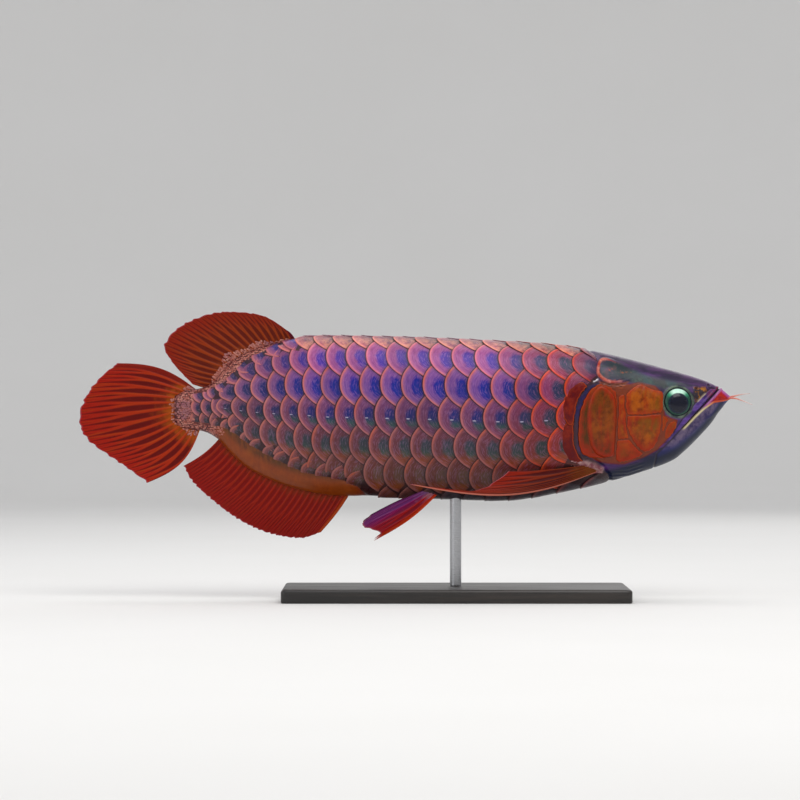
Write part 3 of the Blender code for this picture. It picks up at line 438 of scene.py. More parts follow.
def bare(behind, turn):
    """The bare surface at a station and a turn from the back (0) to the belly (1, or -1 on the left)."""
    turn = (turn + 1.0) % 2.0 - 1.0
    x = np.clip(behind - STATIONS[0], 0.0, len(STATIONS) - 1.001)
    y = np.clip(np.abs(turn) * (len(SHARES) - 1), 0.0, len(SHARES) - 1.001)
    i, j = x.astype(int), y.astype(int)
    fx, fy = x - i, y - j
    angle = (ANGLES[i, j] * (1 - fx) + ANGLES[i + 1, j] * fx) * (1 - fy)
    angle += (ANGLES[i, j + 1] * (1 - fx) + ANGLES[i + 1, j + 1] * fx) * fy
    side, above = section_place(behind, angle)
    return np.stack([behind, np.copysign(side, turn), above], axis=-1)


def normals_at(behind, turn):
    """The outward directions of the bare surface."""
    ahead = bare(behind + 0.6, turn) - bare(behind - 0.6, turn)
    round_it = bare(behind, turn + 0.006) - bare(behind, turn - 0.006)
    return unit(np.cross(ahead, round_it))


def on_skin(behind, turn, lift):
    """Places at a height over the bare surface."""
    behind, turn, lift = np.broadcast_arrays(behind, turn, lift)
    return bare(behind, turn) + normals_at(behind, turn) * lift[..., None]


def flank(behind, above, way):
    """How far the bare surface of one flank lies to the side, at a station and a height."""
    top, bottom, waist, half = section(behind)
    upper = above >= waist
    power = np.where(upper, BACK_SQUARENESS, BELLY_SQUARENESS)
    reach = np.where(upper, top - waist, waist - bottom)
    share = np.clip(np.abs(above - waist) / reach, 0.0, 0.999)
    return half * (1.0 - share**power) ** (1.0 / power) * way


def flank_normal(behind, above, way, step=0.5):
    """The flank's outward direction, from places one step away on each side."""
    rise = (flank(behind, above + step, way) - flank(behind, above - step, way)) / (2 * step)
    run = (flank(behind + step, above, way) - flank(behind - step, above, way)) / (2 * step)
    return unit(np.stack([-run, np.ones_like(run), -rise], axis=-1)) * way


def on_flank(behind, above, way, lift):
    """Places at a height over the flank, by station and height."""
    base = np.stack([behind, flank(behind, above, way), above], axis=-1)
    return base + flank_normal(behind, above, way) * np.broadcast_to(lift, behind.shape)[..., None]


def head_rear(above, edge=HEAD_REAR):
    """Where the head ends at a height."""
    line = np.array(edge)[::-1]
    return np.interp(above, line[:, 1], line[:, 0])


def line_height(line, behind):
    """The height of a line of (behind, above) at a station."""
    return np.interp(behind, *np.array(line).T)


# Meshes


def grid_quads(rows, columns, start=0, flip=False):
    """Faces of a grid of points."""
    index = np.arange(rows * columns).reshape(rows, columns) + start
    quads = np.stack([index[:-1, :-1], index[:-1, 1:], index[1:, 1:], index[1:, :-1]], axis=-1).reshape(-1, 4)
    return quads[:, ::-1] if flip else quads


def slab_quads(rows, columns):
    """Faces of a closed slab whose top grid comes first and whose bottom grid follows."""
    size = rows * columns
    index = np.arange(size).reshape(rows, columns)
    rim = np.concatenate([index[0, :], index[1:, -1], index[-1, -2::-1], index[-2:0:-1, 0]])
    after = np.roll(rim, -1)
    wall = np.stack([rim, rim + size, after + size, after], axis=-1)
    return np.concatenate([grid_quads(rows, columns), grid_quads(rows, columns, size, True), wall])


def slab_cell(u, v):
    """Map corners of one closed scale in a cell from 0 to 1: its top, its under side, then its wall."""
    up = 0.04 + 0.46 * (v + 1.0)
    sides = np.array([[0.02 + 0.86 * u, up], [0.90 + 0.05 * u, up]]).transpose(0, 2, 3, 1)
    corners = sides.reshape(-1, 2)[slab_quads(*u.shape)]
    steps = 2 * (sum(u.shape) - 2)
    step = np.arange(steps)
    corners[-steps:, :, 0] = [0.965, 0.985, 0.985, 0.965]
    corners[-steps:, :, 1] = 0.04 + 0.92 * np.stack([step, step, step + 1, step + 1], axis=-1) / steps
    return corners.reshape(-1, 2)


def ring_quads(rings, around):
    """Faces of rings that close on themselves, such as a tube's."""
    index = np.arange(rings * around).reshape(rings, around)
    after = np.roll(index, -1, axis=1)
    return np.stack([index[:-1], after[:-1], after[1:], index[1:]], axis=-1).reshape(-1, 4)


def ring_patches(roots, rings, around):
    """Map corners of small closed shells of rings: one patch at each root, with its end caps beside it."""
    ring, step = np.meshgrid(np.arange(rings - 1), np.arange(around), indexing="ij")
    along_it = (np.stack([ring, ring, ring + 1, ring + 1], axis=-1) / (rings - 1) * 0.72 - 0.47) * PATCH_SIZE
    round_it = (np.stack([step, step + 1, step + 1, step], axis=-1) / around - 0.5) * 0.94 * PATCH_SIZE
    body = np.stack([along_it, round_it], axis=-1).reshape(-1, 2)
    angle = np.arange(around) / around * 2 * math.pi
    cap = np.stack([np.cos(angle), np.sin(angle)], axis=-1) * 0.07
    caps = np.concatenate([cap + [0.37, 0.25], cap + [0.37, -0.25]]) * PATCH_SIZE
    return np.concatenate([(roots[:, None] + part).reshape(-1, 2) for part in (body, caps)])


def unwrap_cells(along_it, up_it, columns):
    """A stretched unwrap with a cell of its own for each root: columns along, rows up, equally full."""
    column = np.argsort(np.argsort(along_it)) * columns // len(along_it)
    row = np.zeros(len(along_it))
    for number in range(columns):
        inside = np.flatnonzero(column == number)
        row[inside] = (np.argsort(np.argsort(up_it[inside])) + 0.5) / len(inside)
    return np.stack([(column + 0.5) / columns, row], axis=-1)


def make_mesh(name, places, quads, material, values=None, uvs=None, caps=(), outward=True):
    """A mesh object of quads and end caps, with float attributes on its points and smooth shading.

    The map for baking is given by corner, in the order of the quads and then the caps.
    """
    mesh = bpy.data.meshes.new(name)
    corners = np.concatenate([quads.reshape(-1), *caps]).astype(np.int32)
    sizes = np.array([4] * len(quads) + [len(cap) for cap in caps], np.int32)
    mesh.vertices.add(len(places))
    mesh.vertices.foreach_set("co", spot(places).astype(np.float32).ravel())
    mesh.loops.add(len(corners))
    mesh.loops.foreach_set("vertex_index", corners)
    mesh.polygons.add(len(sizes))
    mesh.polygons.foreach_set("loop_start", (np.cumsum(sizes) - sizes).astype(np.int32))
    mesh.polygons.foreach_set("loop_total", sizes)
    for key, value in (values or {}).items():
        layer = mesh.attributes.new(key, "FLOAT", "POINT")
        layer.data.foreach_set("value", np.asarray(value, np.float32).ravel())
    if uvs is not None:
        mesh.uv_layers.new(name="OFBake").data.foreach_set("uv", uvs.astype(np.float32).ravel())
    mesh.update(calc_edges=True)
    mesh.validate()
    if outward and signed_volume(places, quads, caps) < 0:
        mesh.flip_normals()
    mesh.shade_smooth()
    mesh.materials.append(material)
    made = bpy.data.objects.new(name, mesh)
    bpy.context.scene.collection.objects.link(made)
    return made


def signed_volume(places, quads, caps):
    """Positive where the faces of a closed mesh look outward."""
    fans = [quads[:, [0, 1, 2]], quads[:, [0, 2, 3]]]
    for cap in caps:
        fans.append(np.stack([np.full(len(cap) - 2, cap[0]), cap[1:-1], cap[2:]], axis=-1))
    corners = spot(places)[np.concatenate(fans)]
    return np.einsum("ij,ij->i", corners[:, 0], np.cross(corners[:, 1], corners[:, 2])).sum()


def fix_normals(made):
    """Turns every closed shell of a joined mesh outward."""
    shape = bmesh.new()
    shape.from_mesh(made.data)
    bmesh.ops.recalc_face_normals(shape, faces=shape.faces)
    shape.to_mesh(made.data)
    shape.free()


def make_shells(name, places, material, values=None, roots=None):
    """Closed shells of rings, such as balls and tubes, in one mesh. Places go by shell, ring and step."""
    count, rings, around = places.shape[:3]
    starts = np.arange(count) * rings * around
    quads = (ring_quads(rings, around) + starts[:, None, None]).reshape(-1, 4)
    first = np.arange(around)
    caps = [cap + start for start in starts for cap in (first[::-1], first + (rings - 1) * around)]
    uvs = None if roots is None else ring_patches(roots, rings, around)
    made = make_mesh(name, places.reshape(-1, 3), quads, material, values, uvs, caps)
    if count > 1:
        fix_normals(made)
    return made


def make_slabs(name, tops, unders, material, values, uvs=None):
    """Closed slabs in one mesh, from the grids of their two faces, which share the values."""
    count, rows, columns = tops.shape[:3]
    starts = np.arange(count) * 2 * rows * columns
    quads = (slab_quads(rows, columns) + starts[:, None, None]).reshape(-1, 4)
    places = np.stack([tops, unders], axis=1).reshape(-1, 3)
    values = {key: np.stack([value, value], axis=1) for key, value in values.items()}
    return make_mesh(name, places, quads, material, values, uvs)


def ball_grid(rings, around):
    """Slant and angle of rings between the poles of a ball, without the poles themselves."""
    slant = np.linspace(0.0, math.pi, rings + 2)[1:-1]
    return np.meshgrid(slant, np.arange(around) / around * 2 * math.pi, indexing="ij")


def place_piece(made, slot, *nodes):
    """Sets the piece on the body and hides the solids that it stands for. The slot is not used."""
    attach(made, "root")
    if nodes:
        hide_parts(*nodes)


# Materials


def srgb(red, green, blue):
    """A colour named by its 0 to 255 screen values, as linear numbers."""
    values = np.array([red, green, blue]) / 255.0
    linear = np.where(values <= 0.04045, values / 12.92, ((values + 0.055) / 1.055) ** 2.4)
    return (*linear, 1.0)


class Value:
    """What one node of a material gives. Sums, differences and products of values are nodes too."""

    def __init__(self, graph, socket):
        self.graph, self.socket = graph, socket

    def __add__(self, other):
        return self.graph.math("ADD", self, other)

    def __sub__(self, other):
        return self.graph.math("SUBTRACT", self, other)

    def __mul__(self, other):
        return self.graph.math("MULTIPLY", self, other)

    def step(self, low, high, start=0.0, end=1.0):
        """A smooth step from start to end, while this value goes from low to high."""
        given = dict(enumerate((self, low, high, start, end)))
        return self.graph.node("ShaderNodeMapRange", 0, given, interpolation_type="SMOOTHSTEP")


class Graph:
    """A material's nodes, made by short calls.

    Inputs are values, numbers, colours from 0 to 255, or names of the mesh's attributes.
    """

    def __init__(self, name):
        self.material = bpy.data.materials.new(name)
        self.material.use_nodes = True
        self.tree = self.material.node_tree
        self.shader = self.tree.nodes["Principled BSDF"]

    def __getitem__(self, attribute):
        return self.node("ShaderNodeAttribute", "Fac", {}, attribute_name=attribute)

    def feed(self, socket, value):
        if isinstance(value, str):
            value = self[value]
        if isinstance(value, Value):
            self.tree.links.new(value.socket, socket)
        else:
            socket.default_value = srgb(*value) if socket.type == "RGBA" else value

    def node(self, kind, output, given, **settings):
        """One output of a new node, with some of its inputs given by their names or numbers."""
        node = self.tree.nodes.new(kind)
        for key, value in settings.items():
            setattr(node, key, value)
        for key, value in given.items():
            self.feed(node.inputs[key], value)
        return Value(self, node.outputs[output])

    def math(self, operation, a, b=0.0):
        return self.node("ShaderNodeMath", 0, {0: a, 1: b}, operation=operation)

    def mix(self, share, a, b, blend="MIX"):
        """Two colours mixed by a share. The node's colours are inputs 6 and 7 and output 2."""
        return self.node("ShaderNodeMix", 2, {0: share, 6: a, 7: b}, data_type="RGBA", blend_type=blend)

    def layers(self, ground, *layers):
        """A ground colour under layers of (share, colour), the lowest first."""
        for share, colour in layers:
            ground = self.mix(share, ground, colour)
        return ground

    def ramp(self, value, places, *colours):
        """The colour at a value on a row of colours, each at its place."""
        node = self.tree.nodes.new("ShaderNodeValToRGB")
        elements = node.color_ramp.elements
        while len(elements) < len(places):
            elements.new(1.0)
        for element, place, colour in zip(elements, places, colours):
            element.position = place
            element.color = srgb(*colour)
        self.feed(node.inputs[0], value)
        return Value(self, node.outputs[0])

    def where(self):
        """Places in metres."""
        return self.node("ShaderNodeTexCoord", "Object", {})

    def stretched(self, *scale):
        """Places with each direction scaled, so that a pattern runs lengthwise."""
        return self.node("ShaderNodeMapping", "Vector", {"Vector": self.where(), "Scale": scale})

    def combine(self, *parts, kind="XYZ"):
        return self.node("ShaderNodeCombine" + kind, 0, dict(enumerate(parts)))

    def noise(self, scale, detail=3.0, roughness=0.55, vector=None):
        given = {"Scale": scale, "Detail": detail, "Roughness": roughness}
        given["Vector"] = vector or self.where()
        return self.node("ShaderNodeTexNoise", "Fac", given)

    def deep(self, colour, saturation=1.14, value=0.9):
        """The colour a little stronger and darker."""
        given = {"Saturation": saturation, "Value": value, "Color": colour}
        return self.node("ShaderNodeHueSaturation", "Color", given)

    def relief(self, height, strength, distance):
        given = {"Strength": strength, "Distance": distance, "Height": height}
        return self.node("ShaderNodeBump", "Normal", given)

    def finish(self, colour, rough, relief=None, gloss=0.5, coat=(0.0, 0.03), metal=0.0):
        """The material, with its coat as a weight and a roughness."""
        given = {"Base Color": colour, "Roughness": rough, "Specular IOR Level": gloss, "Metallic": metal}
        given |= {"Coat Weight": coat[0], "Coat Roughness": coat[1]}
        if relief:
            given["Normal"] = relief
        for key, value in given.items():
            self.feed(self.shader.inputs[key], value)
        return self.material


def scale_material():
    """Colour by row and by the distance from the rim, with painted shadow by the distance from the scales
    that cover it.
    """
    g = Graph("scales")
    rim, gap, back, down, turn, behind, chance = (g[name] for name in SHOWN)
    mottle, broad, fine = g.noise(210.0, 4.0, 0.62), g.noise(46.0, 2.0), g.noise(1100.0, 2.0)
    rays = g.noise(1.0, 3.0, 0.6, g.combine(down * 5.0, rim * 1.1, chance * 60.0))
    warm, aft = behind.step(215.0, 130.0), behind.step(330.0, 425.0)
    brown = turn.step(0.55, 0.75) * (down + mottle * 0.6).step(0.35, 0.8)
    orange = down.step(0.15, -0.4) * turn.step(0.24, 0.34) * broad.step(0.42, 0.58)
    green = down.step(-0.1, 0.25) * turn.step(0.40, 0.50) * turn.step(0.80, 0.62)
    places = (0.0, 0.07, 0.2, 0.36, 0.52, 0.68, 0.9)
    rims = g.ramp(
        turn, places, (140, 84, 110), (212, 130, 128), (208, 122, 142), (190, 118, 124), (174, 110, 116),
        (152, 96, 96), (132, 84, 78),
    )  # fmt: skip
    rims = g.layers(
        rims, (orange * 0.4, (190, 94, 64)), (warm * 0.8, (206, 84, 60)), (aft * 0.6, (180, 118, 114))
    )
    middle = g.ramp(
        turn, places, (78, 44, 68), (132, 70, 84), (146, 78, 134), (112, 78, 142), (102, 54, 84),
        (90, 44, 50), (94, 48, 32),
    )  # fmt: skip
    middle = g.layers(middle, (warm * 0.75, (126, 44, 36)), (aft * 0.6, (104, 64, 76)))
    core = g.ramp(
        turn, places, (48, 30, 56), (84, 40, 62), (72, 50, 146), (34, 48, 138), (26, 34, 98), (34, 46, 50),
        (96, 58, 36),
    )  # fmt: skip
    core = g.layers(
        core,
        (green * 0.8, (26, 66, 50)),
        (warm * 0.85, (14, 34, 32)),
        (aft * 0.75, (30, 34, 46)),
        (turn.step(0.8, 0.96) * 0.8, (104, 60, 42)),
    )
    wide, high = (back - 0.80) * 2.9, (down + 0.04) * 2.05
    from_core = g.math("SQRT", wide * wide + high * high) + (mottle - 0.5) * 0.8
    from_rim = rim + (mottle - 0.5) * 1.8
    # Painted highlight: pale peach patches on the top rows of the back, where light from above falls
    top_row_highlight = turn.step(0.15, 0.1) * turn.step(0.04, 0.085) * mottle.step(0.3, 0.65) * behind.step(372.0, 358.0)
    # Painted shade: the scales under the fore belly darkened to navy, as on the unlit underside
    keel_shade = behind.step(290.0, 230.0) * turn.step(0.86, 0.95)
    nape = behind.step(132.0, 110.0) * turn.step(0.3, 0.14)
    colour = g.layers(
        middle,
        (from_core.step(1.2, 0.62), core),
        (brown * 0.65, (136, 72, 34)),
        (rays.step(0.46, 0.68) * 0.3, g.mix(0.5, rims, (150, 130, 190))),
        (rays.step(0.48, 0.28) * 0.26, (58, 26, 40)),
        (from_rim.step(4.6, 1.2) * 0.42, rims),
        (from_rim.step(1.75, 1.05), rims),
        # The painted highlight on the top rows
        (top_row_highlight * 0.6, (236, 170, 146)),
        # The painted shade under the fore belly
        (keel_shade * 0.75, g.mix(mottle, (22, 32, 44), (48, 62, 74))),
        (nape * 0.7, (78, 56, 92)),
        # Painted shadow: darker within a few millimetres of the covering scales' rims, and a dark line right
        # at them
        (gap.step(4.5, 0.0) * 0.35, (30, 12, 24)),
        (gap.step(1.15, 0.45) * 0.85, (38, 10, 16)),
    )
    shade = chance * 0.3 + 0.84
    colour = g.mix(1.0, colour, g.combine(shade, shade, shade, kind="Color"), "MULTIPLY")
    rings = g.math("SINE", (rim + mottle * 1.6) * 7.5)
    height = rings * 0.3 + (fine * 0.8 + rays * 0.9)
    rough = mottle.step(0.3, 0.7, 0.28, 0.42)
    relief = g.relief(height, 0.35, 0.0003)
    return g.finish(g.deep(colour), rough, relief, gloss=0.4, coat=(0.15, 0.2), metal=0.15)


def skin_material():
    """Head and body skin: crown, cheek ground, jaw, lips, throat and the bed under the scales, with painted
    shade on the throat and painted highlights along the jaws.
    """
    g = Graph("skin")
    streaks = g.noise(110.0, 4.0, 0.6, g.stretched(0.35, 1.0, 1.6))
    mottle, blotch, fine = g.noise(160.0, 4.0, 0.6), g.noise(70.0, 3.0, 0.6), g.noise(700.0, 3.0)
    grains = g.node("ShaderNodeTexVoronoi", "Distance", {"Vector": g.where(), "Scale": 430.0})
    rays = g.noise(240.0, 3.0, 0.6, g.stretched(1.6, 1.0, 0.25))
    fibres = g.noise(520.0, 3.0, 0.6, g.stretched(0.4, 1.0, 2.0))
    crown = g.mix(streaks.step(0.36, 0.66), (34, 22, 58), (90, 56, 112))
    crown = g.mix(blotch.step(0.6, 0.75) * 0.5, crown, (20, 60, 72))
    band = g.mix(blotch.step(0.42, 0.62), (20, 36, 32), (18, 62, 60))
    band = g.mix(mottle.step(0.5, 0.75), band, (62, 84, 70))
    flecks = g.mix(blotch.step(0.5, 0.64), (28, 44, 50), (92, 58, 62))
    flecks = g.mix(mottle.step(0.55, 0.68) * streaks.step(0.45, 0.6), flecks, (176, 96, 66))
    jaw = g.mix(mottle.step(0.35, 0.7), (52, 42, 84), (112, 98, 122))
    jaw = g.mix("jaw_low", jaw, g.mix(mottle, (28, 30, 72), (60, 62, 122)))
    maxilla = g.mix(streaks.step(0.35, 0.65), (56, 40, 96), (118, 92, 160))
    maxilla = g.mix(g["snout_end"] * mottle.step(0.35, 0.6), maxilla, (128, 36, 56))
    bed = g.mix(mottle, (20, 22, 60), (52, 44, 96))
    bed = g.mix("membrane", g.mix(mottle, (40, 20, 30), (72, 40, 50)), bed)
    bed = g.mix("border_bed", bed, g.mix(mottle, (84, 46, 48), (136, 80, 74)))
    sheath = g.mix(rays.step(0.34, 0.7), (86, 40, 18), (128, 70, 36))
    sheath = g.mix(blotch.step(0.4, 0.65) * 0.6, sheath, (76, 58, 32))
    sheath = g.mix(g["jaw_low"] * 0.7, sheath, g.mix(mottle, (128, 50, 26), (176, 88, 44)))
    ridge = g["nape_rim"] * (mottle + g["nape_rim"]).step(0.72, 1.1)
    colour = g.layers(
        crown,
        ("top", g.mix(streaks.step(0.3, 0.7), (36, 22, 52), (88, 54, 98))),
        (g["band"] * 0.9, band),
        ("cheek", g.mix(mottle, (92, 24, 4), (148, 58, 6))),
        ("temple", g.mix(fibres.step(0.4, 0.6), (92, 38, 26), (168, 104, 84))),
        (g["nape"] * 0.7, flecks),
        (ridge, g.mix(mottle.step(0.4, 0.65), (190, 92, 76), (226, 150, 138))),
        (g["nape_gap"] * 0.7, (30, 12, 22)),
        ("jaw", jaw),
        # Painted shade: near black navy on the head's underside, where no light falls from below
        ("throat", g.mix(mottle, (6, 10, 26), (18, 30, 66))),
        ("specks", g.mix(mottle.step(0.45, 0.6), (44, 34, 44), (176, 112, 34))),
        ("maxilla", maxilla),
        # Painted highlight: a cream line along the maxilla's upper edge
        ("maxilla_highlight", (226, 206, 178)),
        ("inner_lip", g.mix(mottle.step(0.35, 0.7), (150, 18, 28), (206, 66, 44))),
        ("lip", g.mix(mottle, (150, 78, 140), (206, 142, 190))),
        # Partly the lower lip's own pale and orange colour, partly a painted highlight along its edge
        ("cream_and_highlight", g.mix("snout_end", (226, 212, 170), (216, 110, 84))),
        ("eye_ring", g.mix(mottle.step(0.3, 0.7), (22, 44, 42), (108, 124, 104))),
        ("groove", (28, 8, 18)),
        ("bed", bed),
        ("white_streak", (250, 244, 250)),
        ("fin_base", g.mix(mottle.step(0.35, 0.68), (120, 66, 76), (196, 160, 158))),
        ("granular", g.mix(grains.step(0.25, 0.6), (168, 112, 106), (84, 42, 44))),
        ("sheath", sheath),
    )
    height = (streaks * 0.6 + fine * 0.5) - grains * (g["granular"] * 3.0)
    rough = mottle.step(0.3, 0.7, 0.3, 0.45)
    relief = g.relief(height, 0.35, 0.0006)
    return g.finish(g.deep(colour, 1.18, 0.78), rough, relief, gloss=0.3, coat=(0.14, 0.15))


def plate_material(name, ground, light, dull, edge, seam, rim):
    """A bony head plate: mottled ground, coloured edge zone and a darker or lighter line at its rim."""
    g = Graph(name)
    inside = g["inside"]
    mottle, broad, fine = g.noise(120.0, 5.0, 0.65), g.noise(42.0, 3.0), g.noise(600.0, 3.0)
    fibres = g.noise(150.0, 4.0, 0.6, g.stretched(1.8, 1.0, 0.35))
    speck = inside + (mottle - 0.5) * 6.0
    colour = g.layers(
        g.mix(mottle.step(0.35, 0.68), ground, light),
        (broad.step(0.44, 0.6) * 0.75, dull),
        (g["high"] * 0.7 * mottle.step(0.3, 0.65), light),
        (g["outer"] * mottle.step(0.2, 0.6), dull),
        (fibres.step(0.5, 0.7) * 0.45, edge),
        (speck.step(5.5, 0.0) * 0.7, edge),
        (g["low"] * 0.85 * mottle.step(0.25, 0.7), edge),
        (inside.step(1.9, 0.8) * 0.3, rim),
        (inside.step(0.7, 0.3), seam),
    )
    height = mottle * 0.8 + (fine * 0.35 + fibres * 0.5)
    rough = mottle.step(0.3, 0.7, 0.28, 0.42)
    relief = g.relief(height, 0.35, 0.0007)
    return g.finish(g.deep(colour, 1.32, 0.7), rough, relief, gloss=0.16, coat=(0.1, 0.12))


def fin_material(name, base, web, outer, ray, ray_outer, lead, lead_rays=1.0, rear=None):
    """A fin: rays over a membrane, base to edge, with the first ray in its own colour."""
    g = Graph(name)
    ridge, out, phase = g["ray"], g["out"], g["phase"]
    mottle = g.noise(120.0, 4.0, 0.6)
    strands = g.noise(1.0, 3.0, 0.6, g.combine(phase * 3.2, out * 1.6, 0.0))
    reach = out + (mottle - 0.5) * 0.35
    membrane = g.layers(
        g.mix(reach.step(0.55, 1.0), web, outer),
        (reach.step(0.34, 0.02), base),
        (strands.step(0.45, 0.3) * 0.45, g.mix(0.6, web, (20, 4, 6))),
    )
    rays = g.layers(
        g.mix(reach.step(0.4, 0.95), ray, ray_outer),
        (strands.step(0.5, 0.66) * 0.3, base),
        (reach.step(0.24, 0.02), base),
    )
    colour = g.mix(ridge.step(0.05, 0.7) * 0.85, membrane, rays)
    if rear:
        colour = g.mix(phase.step(1.8, 3.6) * 0.7, colour, rear)
    colour = g.mix(phase.step(lead_rays, 0.4 * lead_rays) * 0.85, colour, lead)
    colour = g.mix(out.step(0.975, 0.995) * 0.75, colour, (206, 140, 146))
    joints = g.math("SINE", g["length"] * 4.2) * (ridge * out.step(0.25, 0.5))
    height = joints * 0.45 + g.noise(1500.0, 2.0) * 0.5
    relief = g.relief(height, 0.35, 0.0004)
    return g.finish(g.deep(colour, 1.3, 0.57), 0.48, relief, gloss=0.12, coat=(0.04, 0.3))


def eye_material():
    """A dark pupil in a green iris, with a pale crescent above it that is partly a painted highlight."""
    g = Graph("eye")
    pupil_gap, up = g["pupil"], g["up"]
    mottle, streak = g.noise(420.0, 3.0), g.noise(900.0, 3.0, 0.6)
    # The upper crescent: the iris's own green under pale mint, which is a painted highlight
    iris_and_highlight = g.mix(up.step(0.62, 0.95), (52, 142, 104), g.mix(streak, (150, 220, 190), (226, 246, 232)))
    colour = g.layers(
        g.mix(mottle, (3, 5, 14), (12, 14, 40)),
        (pupil_gap.step(6.9, 8.0), g.mix(mottle, (8, 12, 40), (10, 34, 46))),
        (pupil_gap.step(8.7, 9.3), g.mix(streak, (6, 34, 32), (26, 84, 62))),
        # Partly the iris's colour, partly a painted highlight
        (pupil_gap.step(8.5, 9.5) * up.step(0.3, 0.75), iris_and_highlight),
        (g["radius"].step(10.9, 11.6), (28, 52, 50)),
    )
    return g.finish(colour, 0.22, gloss=0.2, coat=(0.3, 0.03))


def barbel_material():
    """Pink skin, red at the lip and pale to the tip, in fine rings."""
    g = Graph("barbel")
    colour = g.ramp("out", (0.0, 0.3, 0.75), (196, 60, 40), (206, 122, 106), (206, 180, 172))
    return g.finish(colour, 0.4, g.relief(g.math("SINE", g["out"] * 160.0), 0.2, 0.0002), coat=(0.3, 0.2))


def small_scale_material():
    """Pale pink domes, each in its own shade, dark between them."""
    g = Graph("small scales")
    colour = g.layers(
        g.mix("chance", (150, 84, 76), (196, 138, 126)),
        (g.noise(60.0, 2.0).step(0.45, 0.65) * 0.6, (120, 84, 104)),
        (g["height"].step(0.62, 0.2), (84, 34, 34)),
    )
    relief = g.relief(g.noise(900.0, 3.0), 0.3, 0.0003)
    return g.finish(g.deep(colour), 0.4, relief, gloss=0.35, coat=(0.1, 0.25))


def pore_material():
    """The pale grey tubes of the lateral line."""
    g = Graph("pores")
    return g.finish(g.mix(g.noise(800.0), (120, 116, 146), (176, 166, 190)), 0.35, coat=(0.3, 0.2))


def base_material():
    """Black-stained wood with a satin finish: long grain and open pores."""
    g = Graph("stained wood")
    grain = g.noise(260.0, 6.0, 0.6, g.stretched(0.05, 1.0, 1.0))
    rings = g.noise(34.0, 3.0, 0.5, g.stretched(0.12, 1.0, 1.0))
    colour = g.mix((grain + rings * 0.5).step(0.6, 0.95), (20, 17, 16), (46, 39, 35))
    rough = grain.step(0.35, 0.65, 0.34, 0.5)
    return g.finish(colour, rough, g.relief(grain + rings * 0.3, 0.25, 0.0006), coat=(0.15, 0.3))


def rod_material():
    """Brushed steel: fine rings round the rod."""
    g = Graph("brushed steel")
    brush = g.noise(120.0, 5.0, 0.7, g.stretched(1.0, 1.0, 60.0))
    colour = g.mix(brush, (150, 151, 154), (196, 197, 200))
    return g.finish(colour, brush.step(0.3, 0.7, 0.24, 0.38), g.relief(brush, 0.15, 0.0002), metal=1.0)


def floor_material():
    """Plain and pale, with hardly seen clouds."""
    g = Graph("floor")
    return g.finish(g.mix(g.noise(3.0, 2.0), (226, 225, 222), (230, 229, 227)), 0.9, gloss=0.15)


# Pieces


def area_mask(outline, behind, above, soft):
    """How far places lie inside a closed outline of (behind, above), from 0 to 1 over a soft edge."""
    return smoothstep(-soft, soft, inside_of(np.array(outline), behind, above))


def bare_zones(behind, above):
    """Where the body has no scales: the sheath over the anal fin, and the grainy skin at the other fins."""
    under = smoothstep(1.5, -1.5, above - line_height(SCALES_END_LOW, behind))
    over = smoothstep(-1.5, 1.5, above - line_height(SCALES_END_HIGH, behind))
    sheath = under * smoothstep(*SHEATH_END, behind) * smoothstep(*SHEATH_START, behind)
    grainy = np.maximum(over, smoothstep(*GRAINY_START, behind))
    return sheath, np.maximum(grainy, under * smoothstep(*GRAINY_UNDER, behind))


def mouth_forms(behind, above, top):
    """How far places belong to each form of the mouth and jaws, from 0 to 1."""
    mouth, mouth_share = to_line(MOUTH, behind, above)
    lip, lip_share = to_line(LIP_LINE, behind, above)
    streak, highlight_share = to_line(MAXILLA_HIGHLIGHT, behind, above)
    jaw_rear, jaw_edge = (to_line(line, behind, above)[0] for line in (JAW_REAR, JAW_EDGE))
    open_mouth = smoothstep(1.0, 0.93, mouth_share)
    inner_lip = smoothstep(1.6, 3.0, mouth) * smoothstep(-0.4, -1.2, lip)
    low_lip = bump(mouth, 2.0, 1.0) * smoothstep(18.0, 12.0, behind)
    front_lip = bump(top - above, 1.0, 1.9) * smoothstep(-1.5, -3.5, behind)
    upper_lip = bump(mouth, -1.7, 0.9) * open_mouth
    highlight_ends = smoothstep(0.0, 0.15, highlight_share) * smoothstep(1.0, 0.85, highlight_share)
    maxilla = smoothstep(-0.2, 0.6, jaw_edge) * smoothstep(0.0, -0.8, mouth) * smoothstep(46.0, 40.0, behind)
    rear_jaw = smoothstep(-0.5, 0.6, jaw_rear) * (above < -10)
    return {
        "gape": bump(mouth, 0.0, 0.65) * open_mouth,
        "lip": np.maximum(low_lip, front_lip) * (lip < -0.6),
        "upper_lip": upper_lip,
        # The pale lower-lip line, partly a painted highlight
        "cream_and_highlight": bump(lip, 0.0, 0.5 + 0.55 * lip_share) * smoothstep(1.0, 0.9, lip_share),
        "inner_lip": inner_lip * smoothstep(16.0, 9.0, behind),
        "maxilla_highlight": bump(streak, 0.0, 0.6) * highlight_ends,
        "jaw_seam": bump(jaw_rear, 0.0, 0.7),
        "maxilla_seam": bump(jaw_edge, 0.0, 0.55) * smoothstep(1.0, 3.0, behind),
        "maxilla": np.maximum(maxilla, 0.9 * upper_lip * (behind < 40)),
        "jaw": np.where(behind < MOUTH[-1][0], smoothstep(-0.2, 1.0, mouth), rear_jaw),
    }


